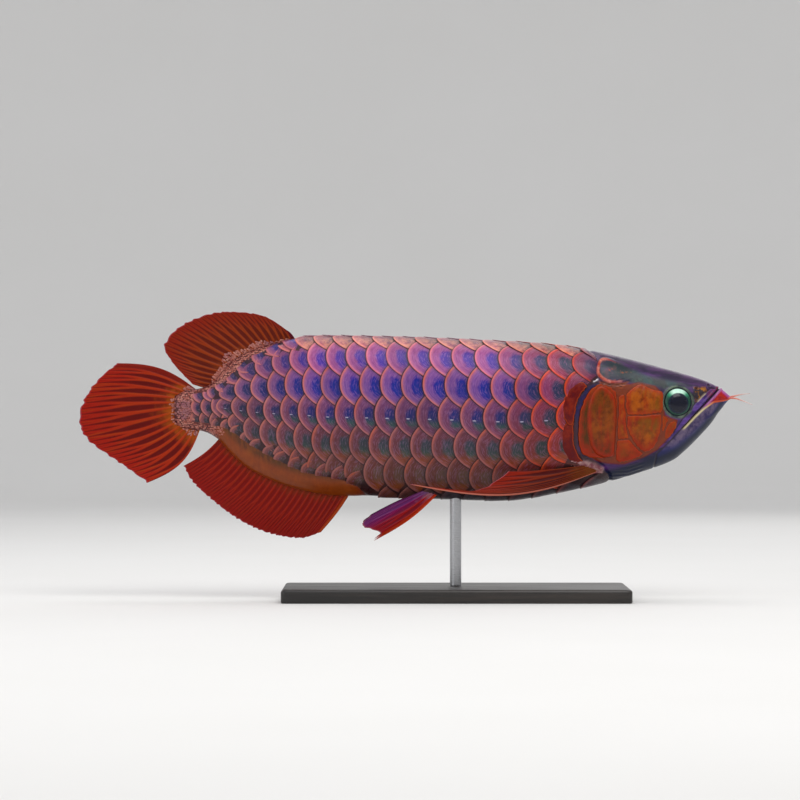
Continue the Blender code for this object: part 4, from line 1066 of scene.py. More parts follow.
def sink_eyes(base, lift):
    """Works the eyes' sockets and the nostrils into the lift, and gives the shares of both."""
    eye_gap, eye_up, pits = np.full(lift.shape, FAR_OFF), np.zeros(lift.shape), np.zeros(lift.shape)
    for way, _ in SIDES:
        centre, normal = eye_frame(way)[:2]
        offset = base - centre
        flat = offset - (offset @ normal)[..., None] * normal
        near_side = base[..., 1] * way > 0
        distance = np.where(near_side, np.linalg.norm(flat, axis=-1), FAR_OFF)
        eye_gap = np.minimum(eye_gap, distance)
        eye_up = np.where(near_side, flat[..., 2] / np.maximum(distance, 1.0), eye_up)
        for nostril in NOSTRILS:
            gap = np.linalg.norm(base - flank_point(nostril, way), axis=-1)
            pits = np.maximum(pits, bump(gap, 0.0, 1.2))
            lift += 0.35 * bump(gap, 2.1, 0.6)
    lift += (0.6 + 0.3 * eye_up) * bump(eye_gap, 13.1, 0.9) - 3.4 * smoothstep(12.4, 11.2, eye_gap)
    lift -= 1.3 * pits
    return bump(eye_gap, 13.2, 1.3), pits


def make_skin(material):
    """The one skin of head and body, with mouth, lips, nostrils and eye sockets in its surface."""
    stations = np.concatenate([np.linspace(*stretch)[:-1] for stretch in SKIN_STRETCHES] + [[END]])
    turns = np.arange(SKIN_AROUND) / SKIN_AROUND * 2.0 - 1.0
    behind, turn = np.meshgrid(stations, turns, indexing="ij")
    base = bare(behind, turn)
    above = base[..., 2]
    top, bottom = section(behind)[:2]
    past_head = behind - head_rear(above)
    on_head = smoothstep(0.5, -0.5, past_head)

    mouth = mouth_forms(behind, above, top)
    lift = sum(height * mouth[form] for form, height in MOUTH_RELIEF.items())
    eye_ring, pits = sink_eyes(base, lift)
    throat_side = smoothstep(-44.0, -47.0, above) * smoothstep(62.0, 70.0, behind)
    throat_side *= smoothstep(0.0, -6.0, past_head)
    folds = to_line(THROAT_FOLDS, behind, above)[0]
    folded = throat_side * smoothstep(0.0, 1.0, folds) * smoothstep(14.0, 9.0, folds)
    lift += 0.28 * np.sin(folds * 2.2) * folded
    furrows = area_mask(TEMPLE, behind, above, 1.5)
    lift += 0.22 * np.sin(above * 3.1 + behind * 0.55) * furrows
    nape = inside_of(rounded(NAPE, 120, 2.0), behind, above)
    nape_shown = smoothstep(74.0, 98.0, behind - 0.5 * np.clip(above - 30.0, 0.0, 20.0))
    lift += (1.1 * smoothstep(-0.9, 0.6, nape) - 0.25 * bump(nape, -1.3, 0.6)) * nape_shown
    jaw_ridge = to_line(JAW_RIDGE, behind, above)[0]
    lift += 0.35 * bump(jaw_ridge, 0.0, 1.6) * smoothstep(50.0, 40.0, behind)
    sheath, grainy = bare_zones(behind, above)
    fin_base = area_mask(FIN_BASE, behind, above, 1.5)
    unscaled = np.maximum.reduce([sheath, grainy, fin_base])
    lift -= SKIN_DEPTH * smoothstep(-5.0, -1.0, past_head) * (1.0 - unscaled)
    lift += 0.25 * np.sin(above * 1.9 - behind * 0.25) * fin_base

    white, white_share = to_line(WHITE_STREAK, behind, above)
    white_ends = smoothstep(0.0, 0.3, white_share) * smoothstep(1.0, 0.7, white_share)
    membrane_ends = smoothstep(-18.0, -2.0, above) * smoothstep(24.0, 19.0, above)
    belly = smoothstep(11.0, 4.0, above - bottom - 0.05 * np.clip(behind, 0, 60))
    groove = mouth["gape"] * 1.1 + 0.8 * mouth["jaw_seam"] + 0.7 * mouth["maxilla_seam"] + pits
    values = {key: mouth[key] for key in ("jaw", "maxilla", "maxilla_highlight", "inner_lip")} | {
        "lip": np.clip(mouth["lip"] * 1.2, 0, 1),
        "cream_and_highlight": np.clip(mouth["cream_and_highlight"] * 1.3, 0, 1),
        "groove": np.clip(groove, 0, 1),
        "snout_end": smoothstep(14.0, 3.0, behind),
        "specks": area_mask(SNOUT_SPECKS, behind, above, 1.6),
        "eye_ring": eye_ring,
        "top": smoothstep(11.0, 3.0, top - above),
        "band": area_mask(GREEN_BAND, behind, above, 2.5),
        "cheek": area_mask(CHEEK_AREA, behind, above, 1.0) * on_head,
        "temple": furrows * on_head * smoothstep(1.0, -1.0, nape),
        "nape": smoothstep(0.4, 2.6, nape) * smoothstep(72.0, 84.0, behind),
        "nape_rim": bump(nape, 1.1, 1.5) * nape_shown,
        "nape_gap": bump(nape, -1.0, 0.7) * nape_shown * on_head,
        "jaw_low": smoothstep(16.0, 8.0, above - bottom + 0.12 * np.clip(30.0 - behind, -20.0, 40.0)),
        # Where the painted shade on the head's underside goes
        "throat": belly * on_head * smoothstep(-9.0, 2.0, behind),
        "bed": smoothstep(-1.0, 1.0, past_head),
        "border_bed": smoothstep(14.0, 5.0, past_border(behind, above)),
        "membrane": smoothstep(6.0, 3.5, past_head) * membrane_ends,
        "white_streak": bump(white, 0.0, 0.7) * white_ends,
        "fin_base": fin_base,
        "sheath": np.maximum(sheath, 0.8 * bare_zones(behind, above - 5.0)[0]) * (past_head > 0),
        "granular": grainy * (past_head > 0),
    }
    places = base + normals_at(behind, turn) * lift[..., None]
    made = make_shells("skin", places[None], material, values)
    place_piece(made, "head", "head", "lower_jaw", "trunk", "tail", "tail_root")


def flank_point(place, way):
    """The point of one flank at a (behind, above)."""
    return np.array([place[0], flank(*map(np.array, place), way), place[1]])


def eye_frame(way):
    """Middle, normal and two directions across one eye, on the bare surface."""
    normal = flank_normal(*map(np.array, EYE), way, EYE_RADIUS / 3)
    up = unit(np.cross(np.cross(normal, [0.0, 0.0, 1.0]), normal))
    return flank_point(EYE, way), normal, np.cross(normal, up), up


def make_eye(name, way, material):
    """A flattened ball with its colour by distance from the middle of the pupil."""
    centre, normal, across, up = eye_frame(way)
    slant, angle = ball_grid(48, 96)
    radius = EYE_RADIUS * np.sin(slant)
    x, z = radius * np.cos(angle), radius * np.sin(angle)
    pupil_gap = np.hypot(x, z + PUPIL_DROP)
    lens = 0.5 * smoothstep(9.4, 6.0, pupil_gap) * (slant < math.pi / 2)
    height = EYE_DOME * np.cos(slant) - EYE_DEPTH + lens
    places = centre + x[..., None] * across + z[..., None] * up + height[..., None] * normal
    values = {"radius": radius, "pupil": pupil_gap, "up": np.sin(angle) * smoothstep(0.0, 4.0, radius)}
    place_piece(make_shells(name, places[None], material, values), "eye", name)


def rounded(outline, count, radius=1.1):
    """A closed outline in evenly spaced points, with its corners rounded."""
    points = spaced(np.array(outline, float), count)
    gap = np.linalg.norm(points[1] - points[0])
    for _ in range(int(2 * (radius / gap) ** 2) + 1):
        points = (np.roll(points, 1, axis=0) + 2 * points + np.roll(points, -1, axis=0)) / 4
    return spaced(points, count)


def spaced(points, count):
    """Evenly spaced points on a closed outline."""
    closed = np.vstack([points, points[:1]])
    length = np.concatenate([[0.0], np.cumsum(np.linalg.norm(np.diff(closed, axis=0), axis=1))])
    wanted = np.arange(count) / count * length[-1]
    return np.stack([np.interp(wanted, length, closed[:, k]) for k in (0, 1)], axis=-1)


def grown(points, by):
    """An evenly spaced closed outline, moved out by a distance."""
    tangent = unit(np.roll(points, -1, axis=0) - np.roll(points, 1, axis=0))
    area = np.sum(points[:, 0] * np.roll(points[:, 1], -1) - points[:, 1] * np.roll(points[:, 0], -1))
    out = np.stack([tangent[:, 1], -tangent[:, 0]], axis=-1) * math.copysign(1.0, area)
    return points + out * by


def inside_of(points, behind, above):
    """Distance from a closed outline, positive inside it."""
    gap = np.abs(to_line(np.vstack([points, points[:1]]), behind, above)[0])
    odd = np.zeros(behind.shape, bool)
    for (x0, z0), (x1, z1) in zip(points, np.roll(points, -1, axis=0)):
        if z0 != z1:
            crosses = (above > z0) != (above > z1)
            odd ^= crosses & (behind < (x1 - x0) * (above - z0) / (z1 - z0) + x0)
    return np.where(odd, gap, -gap)


def plate_patch(outline, way, rise, dome, grow=0.4, panel=None, around=200, rings=34):
    """One head plate as a closed shell: its places, faces and attributes.

    A panel is an outline inside it that stands higher.
    """
    step = np.arange(around)
    edge = grown(rounded(outline, around), grow)
    edge = grown(edge, (0.22 * np.sin(step * 0.29 + edge[:, 0]) + 0.12 * np.sin(step * 0.83))[:, None])
    middle = edge.mean(axis=0)
    share = 1.0 - (1.0 - (np.arange(rings) + 1) / rings) ** 1.7
    behind, above = np.moveaxis(middle + (edge - middle)[None] * share[:, None, None], -1, 0)
    inside = np.abs(to_line(np.vstack([edge, edge[:1]]), behind, above)[0])
    inside[-1] = 0.0
    lip = np.sqrt(np.clip(1.0 - (1.0 - np.clip(inside / 1.3, 0, 1)) ** 2, 0, 1))
    lift = -1.0 + (rise + 1.0) * lip + dome * (1.0 - np.exp(-inside / 6.0))
    lift += 0.1 * np.sin(behind * 0.9 + above * 0.35) * smoothstep(0.0, 5.0, inside)
    outer = np.zeros_like(inside)
    if panel is not None:
        rise = inside_of(rounded(panel, around, 2.0), behind, above)
        lift += 0.8 * smoothstep(-0.5, 0.8, rise) - 0.35 * bump(rise, -0.9, 0.7)
        outer = smoothstep(-0.3, -1.6, rise) * smoothstep(20.0, -6.0, above)
        inside = np.where(rise > 0, np.minimum(inside, rise + 1.0), inside)
        inside = np.where(np.abs(rise + 0.6) < 0.5, 0.5, inside)
    places = [on_flank(behind, above, way, height).reshape(-1, 3) for height in (lift, PLATE_ROOT)]
    places += [on_flank(middle[:1], middle[1:], way, height) for height in (lift[0].mean(), PLATE_ROOT)]
    size, after = rings * around, np.roll(step, -1)
    quads = ring_quads(rings, around)
    rim, next_rim = step + size - around, after + size - around
    wall = np.stack([rim, next_rim, next_rim + size, rim + size], axis=-1)
    fan = np.stack([step, np.full(around, 2 * size), after], axis=-1)
    fan_under = np.stack([step + size, after + size, np.full(around, 2 * size + 1)], axis=-1)
    low, high = smoothstep(-22.0, -38.0, above), smoothstep(-4.0, 12.0, above)
    values = {"inside": inside, "low": low, "high": high, "outer": outer}
    values = {key: np.concatenate([v.ravel(), v.ravel(), [v[0].mean()] * 2]) for key, v in values.items()}
    faces = np.concatenate([quads, quads[:, ::-1] + size, wall])
    return np.concatenate(places), faces, np.concatenate([fan, fan_under]), values


def join_plates(name, patches, material, slot, *nodes):
    """Head plates in one mesh."""
    places, quads, triangles, values = zip(*patches)
    starts = np.cumsum([0] + [len(part) for part in places])
    quads = np.concatenate([part + start for part, start in zip(quads, starts)])
    caps = np.concatenate([part + start for part, start in zip(triangles, starts)])
    values = {key: np.concatenate([part[key] for part in values]) for key in values[0]}
    made = make_mesh(name, np.concatenate(places), quads, material, values, None, list(caps))
    fix_normals(made)
    place_piece(made, slot, *nodes)


def make_head_plates():
    """Cheek, gill and shoulder plates on both sides."""
    materials = [plate_material(f"{key} plates", *colours) for key, colours in PLATE_COLOURS.items()]
    cheek, gill, shoulder = materials
    for way, side in SIDES:
        plates = [plate_patch(outline, way, 0.5, 0.55) for outline in CHEEK_PLATES.values()]
        for outline in EYE_PLATES.values():
            plates.append(plate_patch(outline, way, 0.35, 0.3, around=110, rings=18))
        join_plates(f"cheek_plates_{side}", plates, cheek, "head")
        cover = plate_patch(GILL, way, 0.8, 0.3, 0.1, GILL_PANEL, around=260, rings=60)
        join_plates(f"gill_cover_plate_{side}", [cover], gill, "gill", f"gill_cover_{side}")
        lobes = [plate_patch(SHOULDER_LOW, way, -0.3, 0.7, 0.2)]
        lobes.append(plate_patch(SHOULDER_HIGH, way, 0.7, 0.7, 0.2))
        join_plates(f"shoulder_plate_{side}", lobes, shoulder, "head")


def row_turn(row_turns, row):
    """The turn of a row number counted from the back down the right side, and up the left."""
    last = len(row_turns) - 1
    row = row % (2 * last)
    folded = np.where(row <= last, row, 2 * last - row)
    turn = np.interp(folded, np.arange(last + 1), row_turns)
    return np.where(row <= last, turn, -turn)


def scale_behind(lattice, column, turn):
    """The station of a column's scale tips at a turn: the columns slant and draw closer to the tail."""
    slant = SCALE_SLANT * (LATERAL_LINE - np.abs(turn)) * lattice.pitch / BODY_SCALES.pitch
    return lattice.first + lattice.pitch * column - lattice.loss * column**2 / 2 + slant


def rim_back(across, lean):
    """How far a scale's rim lies ahead of its tip, in pitches, from one corner (-1) to the other (1)."""
    return SCALE_DEPTH * (1.0 + SCALE_LEAN * lean * np.sign(across)) * np.abs(across) ** RIM_POWER


def scale_shown(lattice, behind, above, row):
    """Whether a scale with its tip at a (behind, above) belongs to the scaled skin."""
    last = len(lattice.turns) - 1
    at_head = behind < head_rear(above, SCALES_START) + 4.0
    if at_head or inside_of(np.array(FIN_BASE), np.array(behind), np.array(above)) > -2.0:
        return False
    if lattice is ROOT_SCALES:
        return ROOT_TIPS[0] < behind < ROOT_TIPS[1]
    if row % last == 0 and behind > (KEEL_END if row % (2 * last) else RIDGE_END):
        return False
    low, high = line_height(SCALES_END_LOW, behind) - 7.0, line_height(SCALES_END_HIGH, behind) + 9.0
    return behind < BODY_TIPS_END and low < above < high


def past_border(behind, above):
    """Distance to the nearer border of the scaled skin, positive on its scaled side."""
    low = above - line_height(SCALES_END_LOW, behind)
    high = line_height(SCALES_END_HIGH, behind) - above
    return np.where(behind > 305.0, np.minimum(low, high), 20.0)


def edge_scales():
    """Behind, above, slope, pitch and turn at the tips of the smaller scales along both borders."""
    rows = []
    for line, first, last, offset, turn in EDGE_ROWS:
        behind = first
        while behind < last:
            pitch = EDGE_PITCH - 6.5 * (behind - first) / (last - first)
            above = float(line_height(line, behind)) + offset * (0.5 + 0.5 * pitch / EDGE_PITCH)
            slope = float(line_height(line, behind + 6.0) - line_height(line, behind - 6.0)) / 12.0
            rows.append((behind, above, slope, pitch, turn))
            behind += pitch
    return rows


def scale_grid(along_it, across_it):
    """A scale's own grid, from its root to its rim and from one corner to the other, closer at its edges."""
    u = 1.0 - (1.0 - np.linspace(0.0, 1.0, along_it)) ** 1.6
    v = np.sin(np.linspace(-1.0, 1.0, across_it) * math.pi / 2)
    return np.meshgrid(u, v, indexing="ij")


def cover_gap(v, back, lean, neighbours):
    """Distance to the rims of the scales that lie over this one, each at (rows off, pitches ahead)."""
    covers = []
    for rows_off, ahead in neighbours:
        over = v - rows_off
        covers.append(np.where(np.abs(over) < 1.0, rim_back(over, lean) - (back - ahead), 9.0))
    return np.minimum.reduce(covers)


def join_scales(name, parts, material, *nodes):
    """Scales in one mesh, from each one's top, under side, map corners and shown values."""
    tops, unders, uvs, *shown = (np.array(part) for part in zip(*parts))
    made = make_slabs(name, tops, unders, material, dict(zip(SHOWN, shown)), uvs.reshape(-1, 2))
    place_piece(made, "scales", *nodes)


def make_edge_scales(name, way, material):
    """The smaller scales along the borders, each laid on the flank in its own frame."""
    u, v = scale_grid(10, 14)
    cell = slab_cell(u, v)
    rim = rim_back(v, 0.0)
    back = rim + (SCALE_LENGTH - rim) * (1.0 - u)
    gap = np.minimum(cover_gap(v, back, 0.0, ((1.35, 0.5), (-1.35, 0.5))), rim - (back - 1.0))
    parts = []
    for number, (tip_behind, tip_above, slope, pitch, turn) in enumerate(edge_scales()):
        length = math.hypot(1.0, slope)
        jitter = rng.uniform(-0.08, 0.08, 2) * pitch
        half = 0.86 * pitch
        behind = tip_behind + jitter[0] - (back * pitch - v * half * slope) / length
        above = tip_above + jitter[1] - (back * pitch * slope + v * half) / length
        above = np.clip(above, smooth(BELLY, behind) + 1.5, smooth(BACK, behind) - 2.0)
        from_rim = (back - rim) * pitch * 0.8
        lift = 0.25 + 0.07 * pitch * (1.0 - (back / 1.4) ** 1.15)
        lift += 0.12 * bump(from_rim, 0.6, 0.5) - 0.25 * v**2
        lift -= 1.8 * smoothstep(0.5, -4.0, past_border(behind, above))
        faces = (on_flank(behind, above, way, lift), on_flank(behind, above, way, lift - 0.3))
        uvs = (cell + [number % 12, number // 12]) / [12, 8]
        turn, chance = np.full_like(v, turn), np.full_like(v, rng.uniform(0.0, 1.0))
        parts.append((*faces, uvs, from_rim, gap * pitch * 0.8, back, v, turn, behind, chance))
    join_scales(name, parts, material)


def make_scales(name, lattice, rows, columns, material, node):
    """Thin closed scales for some rows and columns of a lattice, joined in one mesh.

    Each one's patch on the map for baking lies at its column and row, as they lie on the body.
    """
    last = len(lattice.turns) - 1
    u, v = scale_grid(SCALE_ALONG, SCALE_ACROSS)
    cell = slab_cell(u, v)
    parts = []
    for row in rows:
        lean = 0.0 if row % last == 0 else (1.0 if row < last else -1.0)
        rim = rim_back(v, lean)
        slope = SCALE_DEPTH * (1.0 + SCALE_LEAN * lean * np.sign(v)) * RIM_POWER
        slope *= np.abs(v) ** (RIM_POWER - 1.0)
        back = rim + (SCALE_LENGTH - rim) * (1.0 - u)
        gap = cover_gap(v, back, lean, ((1 / SCALE_WIDTH, 0.5), (-1 / SCALE_WIDTH, 0.5), (0.0, 1.0)))
        middle_turn = row_turn(lattice.turns, np.array(float(row)))
        turn = row_turn(lattice.turns, row + v * SCALE_WIDTH)
        for column in columns:
            tip = column + 0.5 * (row % 2) + rng.uniform(-0.014, 0.014)
            chance, lift_share = rng.uniform(0.0, 1.0), rng.uniform(0.9, 1.1)
            tip_behind = float(scale_behind(lattice, tip, middle_turn))
            tip_above = float(bare(np.array(tip_behind), middle_turn)[2])
            if not scale_shown(lattice, tip_behind, tip_above, row):
                continue
            behind = np.minimum(scale_behind(lattice, tip - back, turn), END)
            above = bare(behind, turn)[..., 2]
            pitch = lattice.pitch - lattice.loss * tip
            girth = bare(behind[:, :1], turn[:, :1]) - bare(behind[:, -1:], turn[:, -1:])
            half = max(float(np.linalg.norm(girth, axis=-1).mean()) / 2, 2.0)
            from_rim = (back - rim) * pitch / np.sqrt(1.0 + (slope * pitch / half) ** 2)
            lift = SCALE_LIFT * pitch * lift_share * (1.0 - (back / 1.5) ** 1.15)
            lift *= 1.0 - 0.45 * smoothstep(0.8, 0.97, np.abs(turn))
            lift += 0.2 * bump(from_rim, 0.75, 0.6) - 0.14 * bump(from_rim, 2.6, 1.3) - 0.2 * v**2
            lift += 0.05 * np.sin(9.0 * v + 20.0 * chance) * bump(from_rim, 0.0, 3.0)
            lift -= 1.9 * smoothstep(5.0, -2.5, past_border(behind, above))
            if lattice is ROOT_SCALES:
                lift -= 0.55 * smoothstep(443.0, 434.0, behind)
            clear = behind - head_rear(above, SCALES_START)
            lift *= np.clip((clear + 2.0) / 6.0, 0.0, 1.0)
            lift -= 1.3 * np.clip((2.0 - clear) / 4.0, 0.0, 1.0)
            thick = SCALE_THICK * (0.45 + 0.55 * smoothstep(0.0, 2.0, from_rim))
            faces = (on_skin(behind, turn, lift), on_skin(behind, turn, lift - thick))
            uvs = (cell + [columns.index(column), rows.index(row)]) / [len(columns), len(rows)]
            shown_turn = 0.6 * abs(float(middle_turn)) + 0.4 * np.abs(turn)
            shown = (from_rim, gap * pitch * 0.8, back, v * lean, shown_turn, behind, np.full_like(v, chance))
            parts.append((*faces, uvs, *shown))
    join_scales(name, parts, material, node)


def make_pores(material):
    """A small raised tube on each scale of the lateral line, right and left."""
    slant, angle = ball_grid(7, 10)
    for way, side in SIDES:
        places, roots = [], []
        turn = np.array(LATERAL_LINE * way)
        for column in range(1, 20):
            behind = scale_behind(BODY_SCALES, column - 0.6, turn)
            if behind < FIRST_PORE:
                continue
            size = 1.0 - 0.02 * column
            along_it = behind + 1.9 * size * np.cos(slant)
            round_it = turn + 0.0042 * size * np.sin(slant) * np.cos(angle)
            places.append(on_skin(along_it, round_it, 0.9 + 0.5 * size * np.sin(slant) * np.sin(angle)))
            roots.append([column / 20, LATERAL_LINE])
        made = make_shells(f"lateral_line_{side}", np.array(places), material, None, np.array(roots))
        place_piece(made, "scales")


def small_scale_spots():
    """Middles, forward and outward directions, sides and map places of the small domed scales."""
    spots = []
    for way, _ in SIDES:
        behind, above = np.meshgrid(np.arange(*SMALL_COLUMNS), np.arange(*SMALL_ROWS), indexing="ij")
        behind = behind + rng.uniform(-0.6, 0.6, behind.shape) + 1.0 * (np.arange(behind.shape[1]) % 2)
        above = above + rng.uniform(-0.5, 0.5, above.shape)
        room = np.minimum(smooth(BACK, behind) - above, above - smooth(BELLY, behind))
        keep = (bare_zones(behind, above)[1] > 0.5) & (room > 1.2)
        behind, above = behind[keep], above[keep]
        here = on_flank(behind, above, way, -0.1)
        forward = unit(on_flank(behind + 1.0, above, way, -0.1) - here)
        normal = unit(on_flank(behind, above, way, 0.9) - here)
        # The flank's part is the left half of the map
        root = (0.01 + 0.47 * (behind - 368.0) / 104.0, 0.01 + 0.98 * (above + 23.0) / 86.0)
        spots.append((here, forward, normal, np.full(len(here), way), np.stack(root, axis=-1)))
    for node, reach, count, columns, first in SCALED_FINS:
        share = rng.uniform(0.01, 0.99, count)
        out = rng.uniform(0.0, 1.0, count) ** 1.2 * reach * (0.85 + 0.15 * np.sin(share * 23.0))
        here = fin_place(node, share, out)
        forward = unit(fin_place(node, share, out + 0.02) - here)
        normal = unit(np.cross(fin_place(node, np.minimum(share + 0.01, 1.0), out) - here, forward))
        normal *= np.sign(normal[:, 1:2])
        root = unwrap_cells(share, out, columns) * [0.24, 1.0] + [first, 0.0]
        for way, _ in SIDES:
            spots.append((here + normal * way * 0.6, forward, normal * way, np.full(count, way), root))
    return [np.concatenate(part) for part in zip(*spots)]


def make_small_scales(material):
    """Small domed scales on the bare skin beside the rear fins and on those fins' bases."""
    centre, forward, normal, ways, roots = small_scale_spots()
    slant, angle = ball_grid(5, 9)
    size = rng.uniform(0.75, 1.2, len(centre))[:, None, None, None]
    chance = rng.uniform(0.0, 1.0, len(centre))[:, None, None] + np.zeros(slant.shape)
    directions = (forward, np.cross(normal, forward), normal)
    shares = (np.sin(slant) * np.cos(angle), np.sin(slant) * np.sin(angle), np.cos(slant))
    dome = 0.0
    for direction, share, half in zip(directions, shares, SMALL_SIZE):
        dome = dome + direction[:, None, None] * (half * share)[..., None]
    places = centre[:, None, None] + size * dome
    for way, side in SIDES:
        here = ways == way
        values = {"chance": chance[here], "height": np.tile(np.cos(slant), (here.sum(), 1, 1))}
        made = make_shells(f"small_scales_{side}", places[here], material, values, roots[here])
        place_piece(made, "scales")


def ray_ridge(share, out, rays):
    """How much of a ray lies at a place of a fin: rays fork in two, and again near the edge."""
    phase = share * (rays - 1)
    gap = np.abs(phase - np.round(phase))
    gap = np.abs(gap - 0.25 * smoothstep(0.38, 0.8, out))
    gap = np.abs(gap - 0.11 * smoothstep(0.68, 0.98, out))
    width = 0.19 - 0.05 * smoothstep(0.3, 0.6, out) - 0.045 * smoothstep(0.65, 0.95, out)
    return np.exp(-((gap / width) ** 2)), phase


def fin_place(node, share, out):
    """Places on a fin's middle surface, on the right side where it has one."""
    roots, tips, rays, facing, bow, wave = FINS[node]
    facing = unit(np.array(facing, float))
    root, tip = along(roots, share), along(tips, share)
    straight = tip - root
    phase = share * (rays - 1)
    notch = 1.0 - WEB_NOTCH * np.sin(math.pi * phase) ** 2 * smoothstep(0.6, 1.0, out)
    fray = 0.5 + 0.5 * np.sin(phase * 9.0 + 2.0 * np.sin(phase * 1.7)) * np.sin(phase * 2.3 + 1.0)
    t = (out * notch * (1.0 - 0.014 * fray * smoothstep(0.9, 1.0, out)))[..., None]
    bend = np.cross(facing, straight) * (bow[0] + (bow[1] - bow[0]) * share)[..., None]
    sway = facing * (wave * np.sin(2 * math.pi * EDGE_WAVES * share))[..., None]
    return root + straight * t + bend * np.sin(math.pi * t) + sway * t**2


def make_fin(name, node, way, material):
    """One fin as a closed membrane with its rays raised on both faces."""
    rays, facing = FINS[node][2:4]
    columns = (rays - 1) * ACROSS_RAY + 1
    share, out = np.meshgrid(np.linspace(0, 1, columns), np.linspace(0, 1, ALONG_RAY) ** 0.92, indexing="ij")
    ridge, phase = ray_ridge(share, out, rays)
    middle = fin_place(node, share, out)
    across = np.gradient(middle, axis=0)
    normal = unit(np.cross(across, np.gradient(middle, axis=1)))
    normal *= np.sign(normal @ unit(np.array(facing, float)))[..., None]
    ray = RAY_HALF[0] + (RAY_HALF[1] - RAY_HALF[0]) * out
    web = WEB_HALF[0] + (WEB_HALF[1] - WEB_HALF[0]) * out
    half = web + (ray - web) * ridge
    half *= 0.45 + 0.55 * np.minimum(smoothstep(0.0, 0.006, share), smoothstep(1.0, 0.994, share))
    half = np.minimum(half, 0.12 + 0.34 * np.linalg.norm(across, axis=-1) * ACROSS_RAY)
    ripple = 0.12 * np.sin(2 * math.pi * phase) * smoothstep(0.3, 1.0, out)
    faces = [(middle + normal * lift[..., None]) * [1, way, 1] for lift in (ripple + half, ripple - half)]
    length = np.linalg.norm(middle - middle[:, :1], axis=-1)
    values = {"ray": ridge[None], "out": out[None], "length": length[None], "phase": phase[None]}
    place_piece(make_slabs(name + "_rays", faces[0][None], faces[1][None], material, values), "fin", name)


def make_fins():
    """The middle fins, then the paired fins of each side."""
    materials = {}
    for node, colours in FIN_COLOURS.items():
        title = node.replace("_", " ")
        if node in PAIRED_FINS:
            title += "s"
        materials[node] = fin_material(title, *colours)
    for node in ("dorsal_fin", "anal_fin", "tail_fin"):
        make_fin(node, node, 1, materials[node])
    for way, side in SIDES:
        for node in PAIRED_FINS:
            make_fin(f"{node}_{side}", node, way, materials[node])


def make_barbel(name, material):
    """A tapering feeler with a rounded tip."""
    out, angle = np.meshgrid(np.linspace(0, 1, 60), np.arange(20) / 20 * 2 * math.pi, indexing="ij")
    middle = along(BARBELS[name], out)
    forward = unit(np.gradient(middle, axis=0))
    side = unit(np.cross(forward, [0.0, 0.0, 1.0]))
    up = np.cross(side, forward)
    radius = BARBEL_RADIUS * (1.0 - 0.74 * out) * (1 + 0.25 * smoothstep(0.08, 0.0, out))
    radius = radius * np.sqrt(np.clip(1.0 - smoothstep(0.96, 1.0, out) ** 2, 0.02, 1.0))
    places = middle + (side * np.cos(angle)[..., None] + up * np.sin(angle)[..., None]) * radius[..., None]
    place_piece(make_shells(name + "_feeler", places[None], material, {"out": out}), "barbel", name)


def from_axes(x, y, z):
    """Places of points given in millimetres in the model's own axes."""
    x, y, z = np.broadcast_arrays(x, y, z)
    return np.stack([ROD_BEHIND - x, -y, z - AXIS_HEIGHT], axis=-1)


def make_stand_piece(name, node, places, material):
    """One shell of the stand, in place of its solid, with sharp edges."""
    made = make_shells(name, places[None], material)
    made.data.set_sharp_from_angle(angle=math.radians(40))
    place_piece(made, node, node)


def make_stand():
    """The stand keeps its solids' sizes, with finer rounding."""
    low, high = (np.array(corner) * 1000 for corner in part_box("stand_base"))
    half, middle = (high - low)[:2] / 2, (high + low)[:2] / 2
    outline = []
    for turns, way in enumerate(((1, 1), (-1, 1), (-1, -1), (1, -1))):
        angle = np.linspace(0, math.pi / 2, 7) + turns * math.pi / 2
        arc = BASE_CORNER * np.stack([np.cos(angle), np.sin(angle)], axis=-1)
        outline.append(np.array(way) * (half - BASE_CORNER) + arc)
    outline = np.concatenate(outline)
    angle = np.linspace(0, math.pi / 2, 9)
    inset = np.concatenate([[1.2, 0.4, 0.0], BASE_BEVEL * (1 - np.cos(angle))])
    height = np.concatenate([low[2] + [0.0, 0.3, 1.1], high[2] - BASE_BEVEL * (1 - np.sin(angle))])
    points = outline * (1.0 - inset[:, None, None] / half) + middle
    places = from_axes(points[..., 0], points[..., 1], height[:, None])
    make_stand_piece("stand_base_wood", "stand_base", places, base_material())

    low, high = (np.array(corner) * 1000 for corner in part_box("stand_rod"))
    radius = (high[0] - low[0]) / 2 - np.array([0.4, 0.0, 0.0])[:, None]
    height = np.array([low[2], low[2] + 0.4, high[2] + 1.5])[:, None]
    angle = np.arange(96) / 96 * 2 * math.pi
    places = from_axes(radius * np.cos(angle), radius * np.sin(angle), height)
    make_stand_piece("stand_rod_steel", "stand_rod", places, rod_material())


def make_stage():
    """A pale round floor that curves up into a plain wall far behind."""
    angle = np.arange(1, 17) / 16 * math.pi / 2
    curve = FLOOR + FLOOR_CURVE * np.sin(angle)
    radius = np.concatenate([[1.0, 400.0, 1200.0, FLOOR], curve, [FLOOR + FLOOR_CURVE]])
    height = np.concatenate([[0.0] * 4, FLOOR_CURVE * (1 - np.cos(angle)), [WALL]])
    around = 128
    angle = np.arange(around) / around * 2 * math.pi
    places = from_axes(-radius[:, None] * np.cos(angle), -radius[:, None] * np.sin(angle), height[:, None])
    quads, caps = ring_quads(len(radius), around), [np.arange(around)]
    make_mesh("floor", places.reshape(-1, 3), quads, floor_material(), caps=caps, outward=False)


def make_light(name, location, size, power, colour):
    """A round lamp that faces the model."""
    data = bpy.data.lights.new(name, "AREA")
    data.shape = "DISK"
    data.size = size
    data.energy = power
    data.color = colour
    light = bpy.data.objects.new(name, data)
    bpy.context.scene.collection.objects.link(light)
    light.location = location
    direction = Vector([t - p for t, p in zip(LIT_PLACE, location)])
    light.rotation_euler = direction.to_track_quat("-Z", "Y").to_euler()


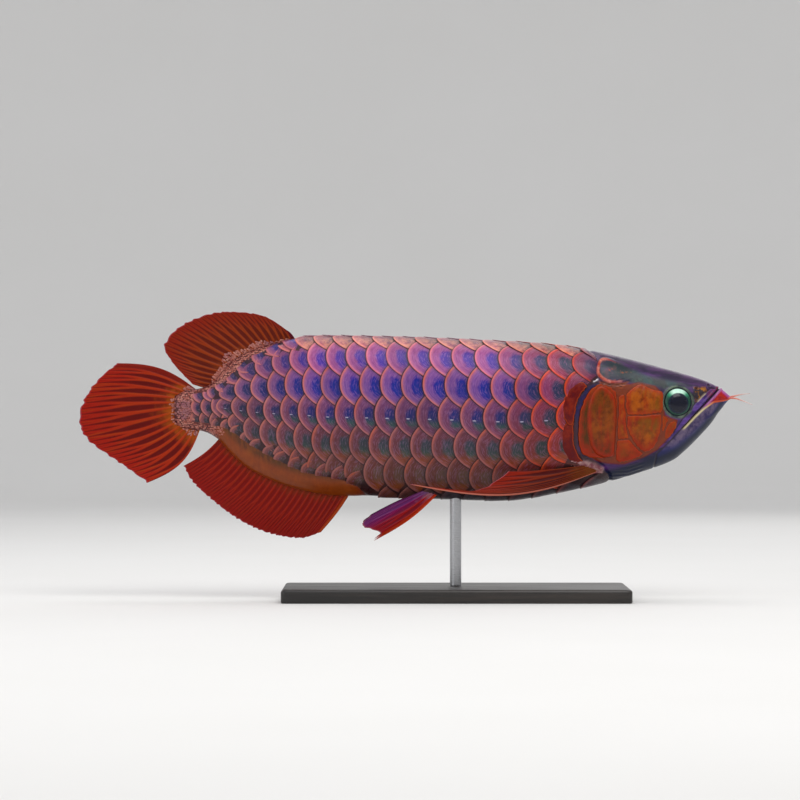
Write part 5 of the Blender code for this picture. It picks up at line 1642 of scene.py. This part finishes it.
def make_lights():
    """Four soft lamps in a pale surrounding."""
    make_light("key", (0.5, -1.5, 1.9), 1.5, 21.0, (1.0, 0.985, 0.96))
    make_light("fill", (-1.9, -1.3, 0.9), 1.6, 9.0, (0.96, 0.98, 1.0))
    make_light("top", (-0.1, 0.4, 2.1), 1.4, 12.0, (1.0, 1.0, 1.0))
    make_light("back", (0.6, 2.0, 1.3), 1.5, 5.0, (1.0, 0.99, 0.98))
    world = bpy.data.worlds.new("studio")
    world.use_nodes = True
    background = world.node_tree.nodes["Background"]
    background.inputs["Color"].default_value = (0.95, 0.96, 1.0, 1.0)
    background.inputs["Strength"].default_value = 0.72
    bpy.context.scene.world = world


def make_camera():
    """The camera looks straight at the fish's right side, as in the photo."""
    data = bpy.data.cameras.new("camera")
    data.sensor_width = 36.0
    data.lens = data.sensor_width * CAMERA_DISTANCE / FRAME_WIDTH
    camera = bpy.data.objects.new("camera", data)
    bpy.context.scene.collection.objects.link(camera)
    camera.location = (FRAME_MIDDLE[0], -CAMERA_DISTANCE, FRAME_MIDDLE[1])
    camera.rotation_euler = (math.pi / 2, 0.0, 0.0)
    bpy.context.scene.camera = camera
    bpy.context.scene.view_settings.view_transform = "Standard"


def main():
    """The whole scene. All kinds of scales draw random numbers, so their order is kept."""
    make_lights()
    make_camera()
    make_stage()
    make_skin(skin_material())
    eye = eye_material()
    for way, side in SIDES:
        make_eye(f"eye_{side}", way, eye)
    make_head_plates()
    scales = scale_material()
    trunk, tail = range(-2, 11), range(11, 22)
    for side, rows in (("right", range(0, 7)), ("left", range(7, 14))):
        make_scales(f"trunk_scales_{side}", BODY_SCALES, rows, trunk, scales, "trunk")
        make_scales(f"tail_scales_{side}", BODY_SCALES, rows, tail, scales, "tail")
    make_scales("tail_root_scales", ROOT_SCALES, range(0, 8), range(1, 7), scales, "tail_root")
    for way, side in SIDES:
        make_edge_scales(f"edge_scales_{side}", way, scales)
    make_small_scales(small_scale_material())
    make_pores(pore_material())
    make_fins()
    barbel = barbel_material()
    for name in BARBELS:
        make_barbel(name, barbel)
    make_stand()


main()
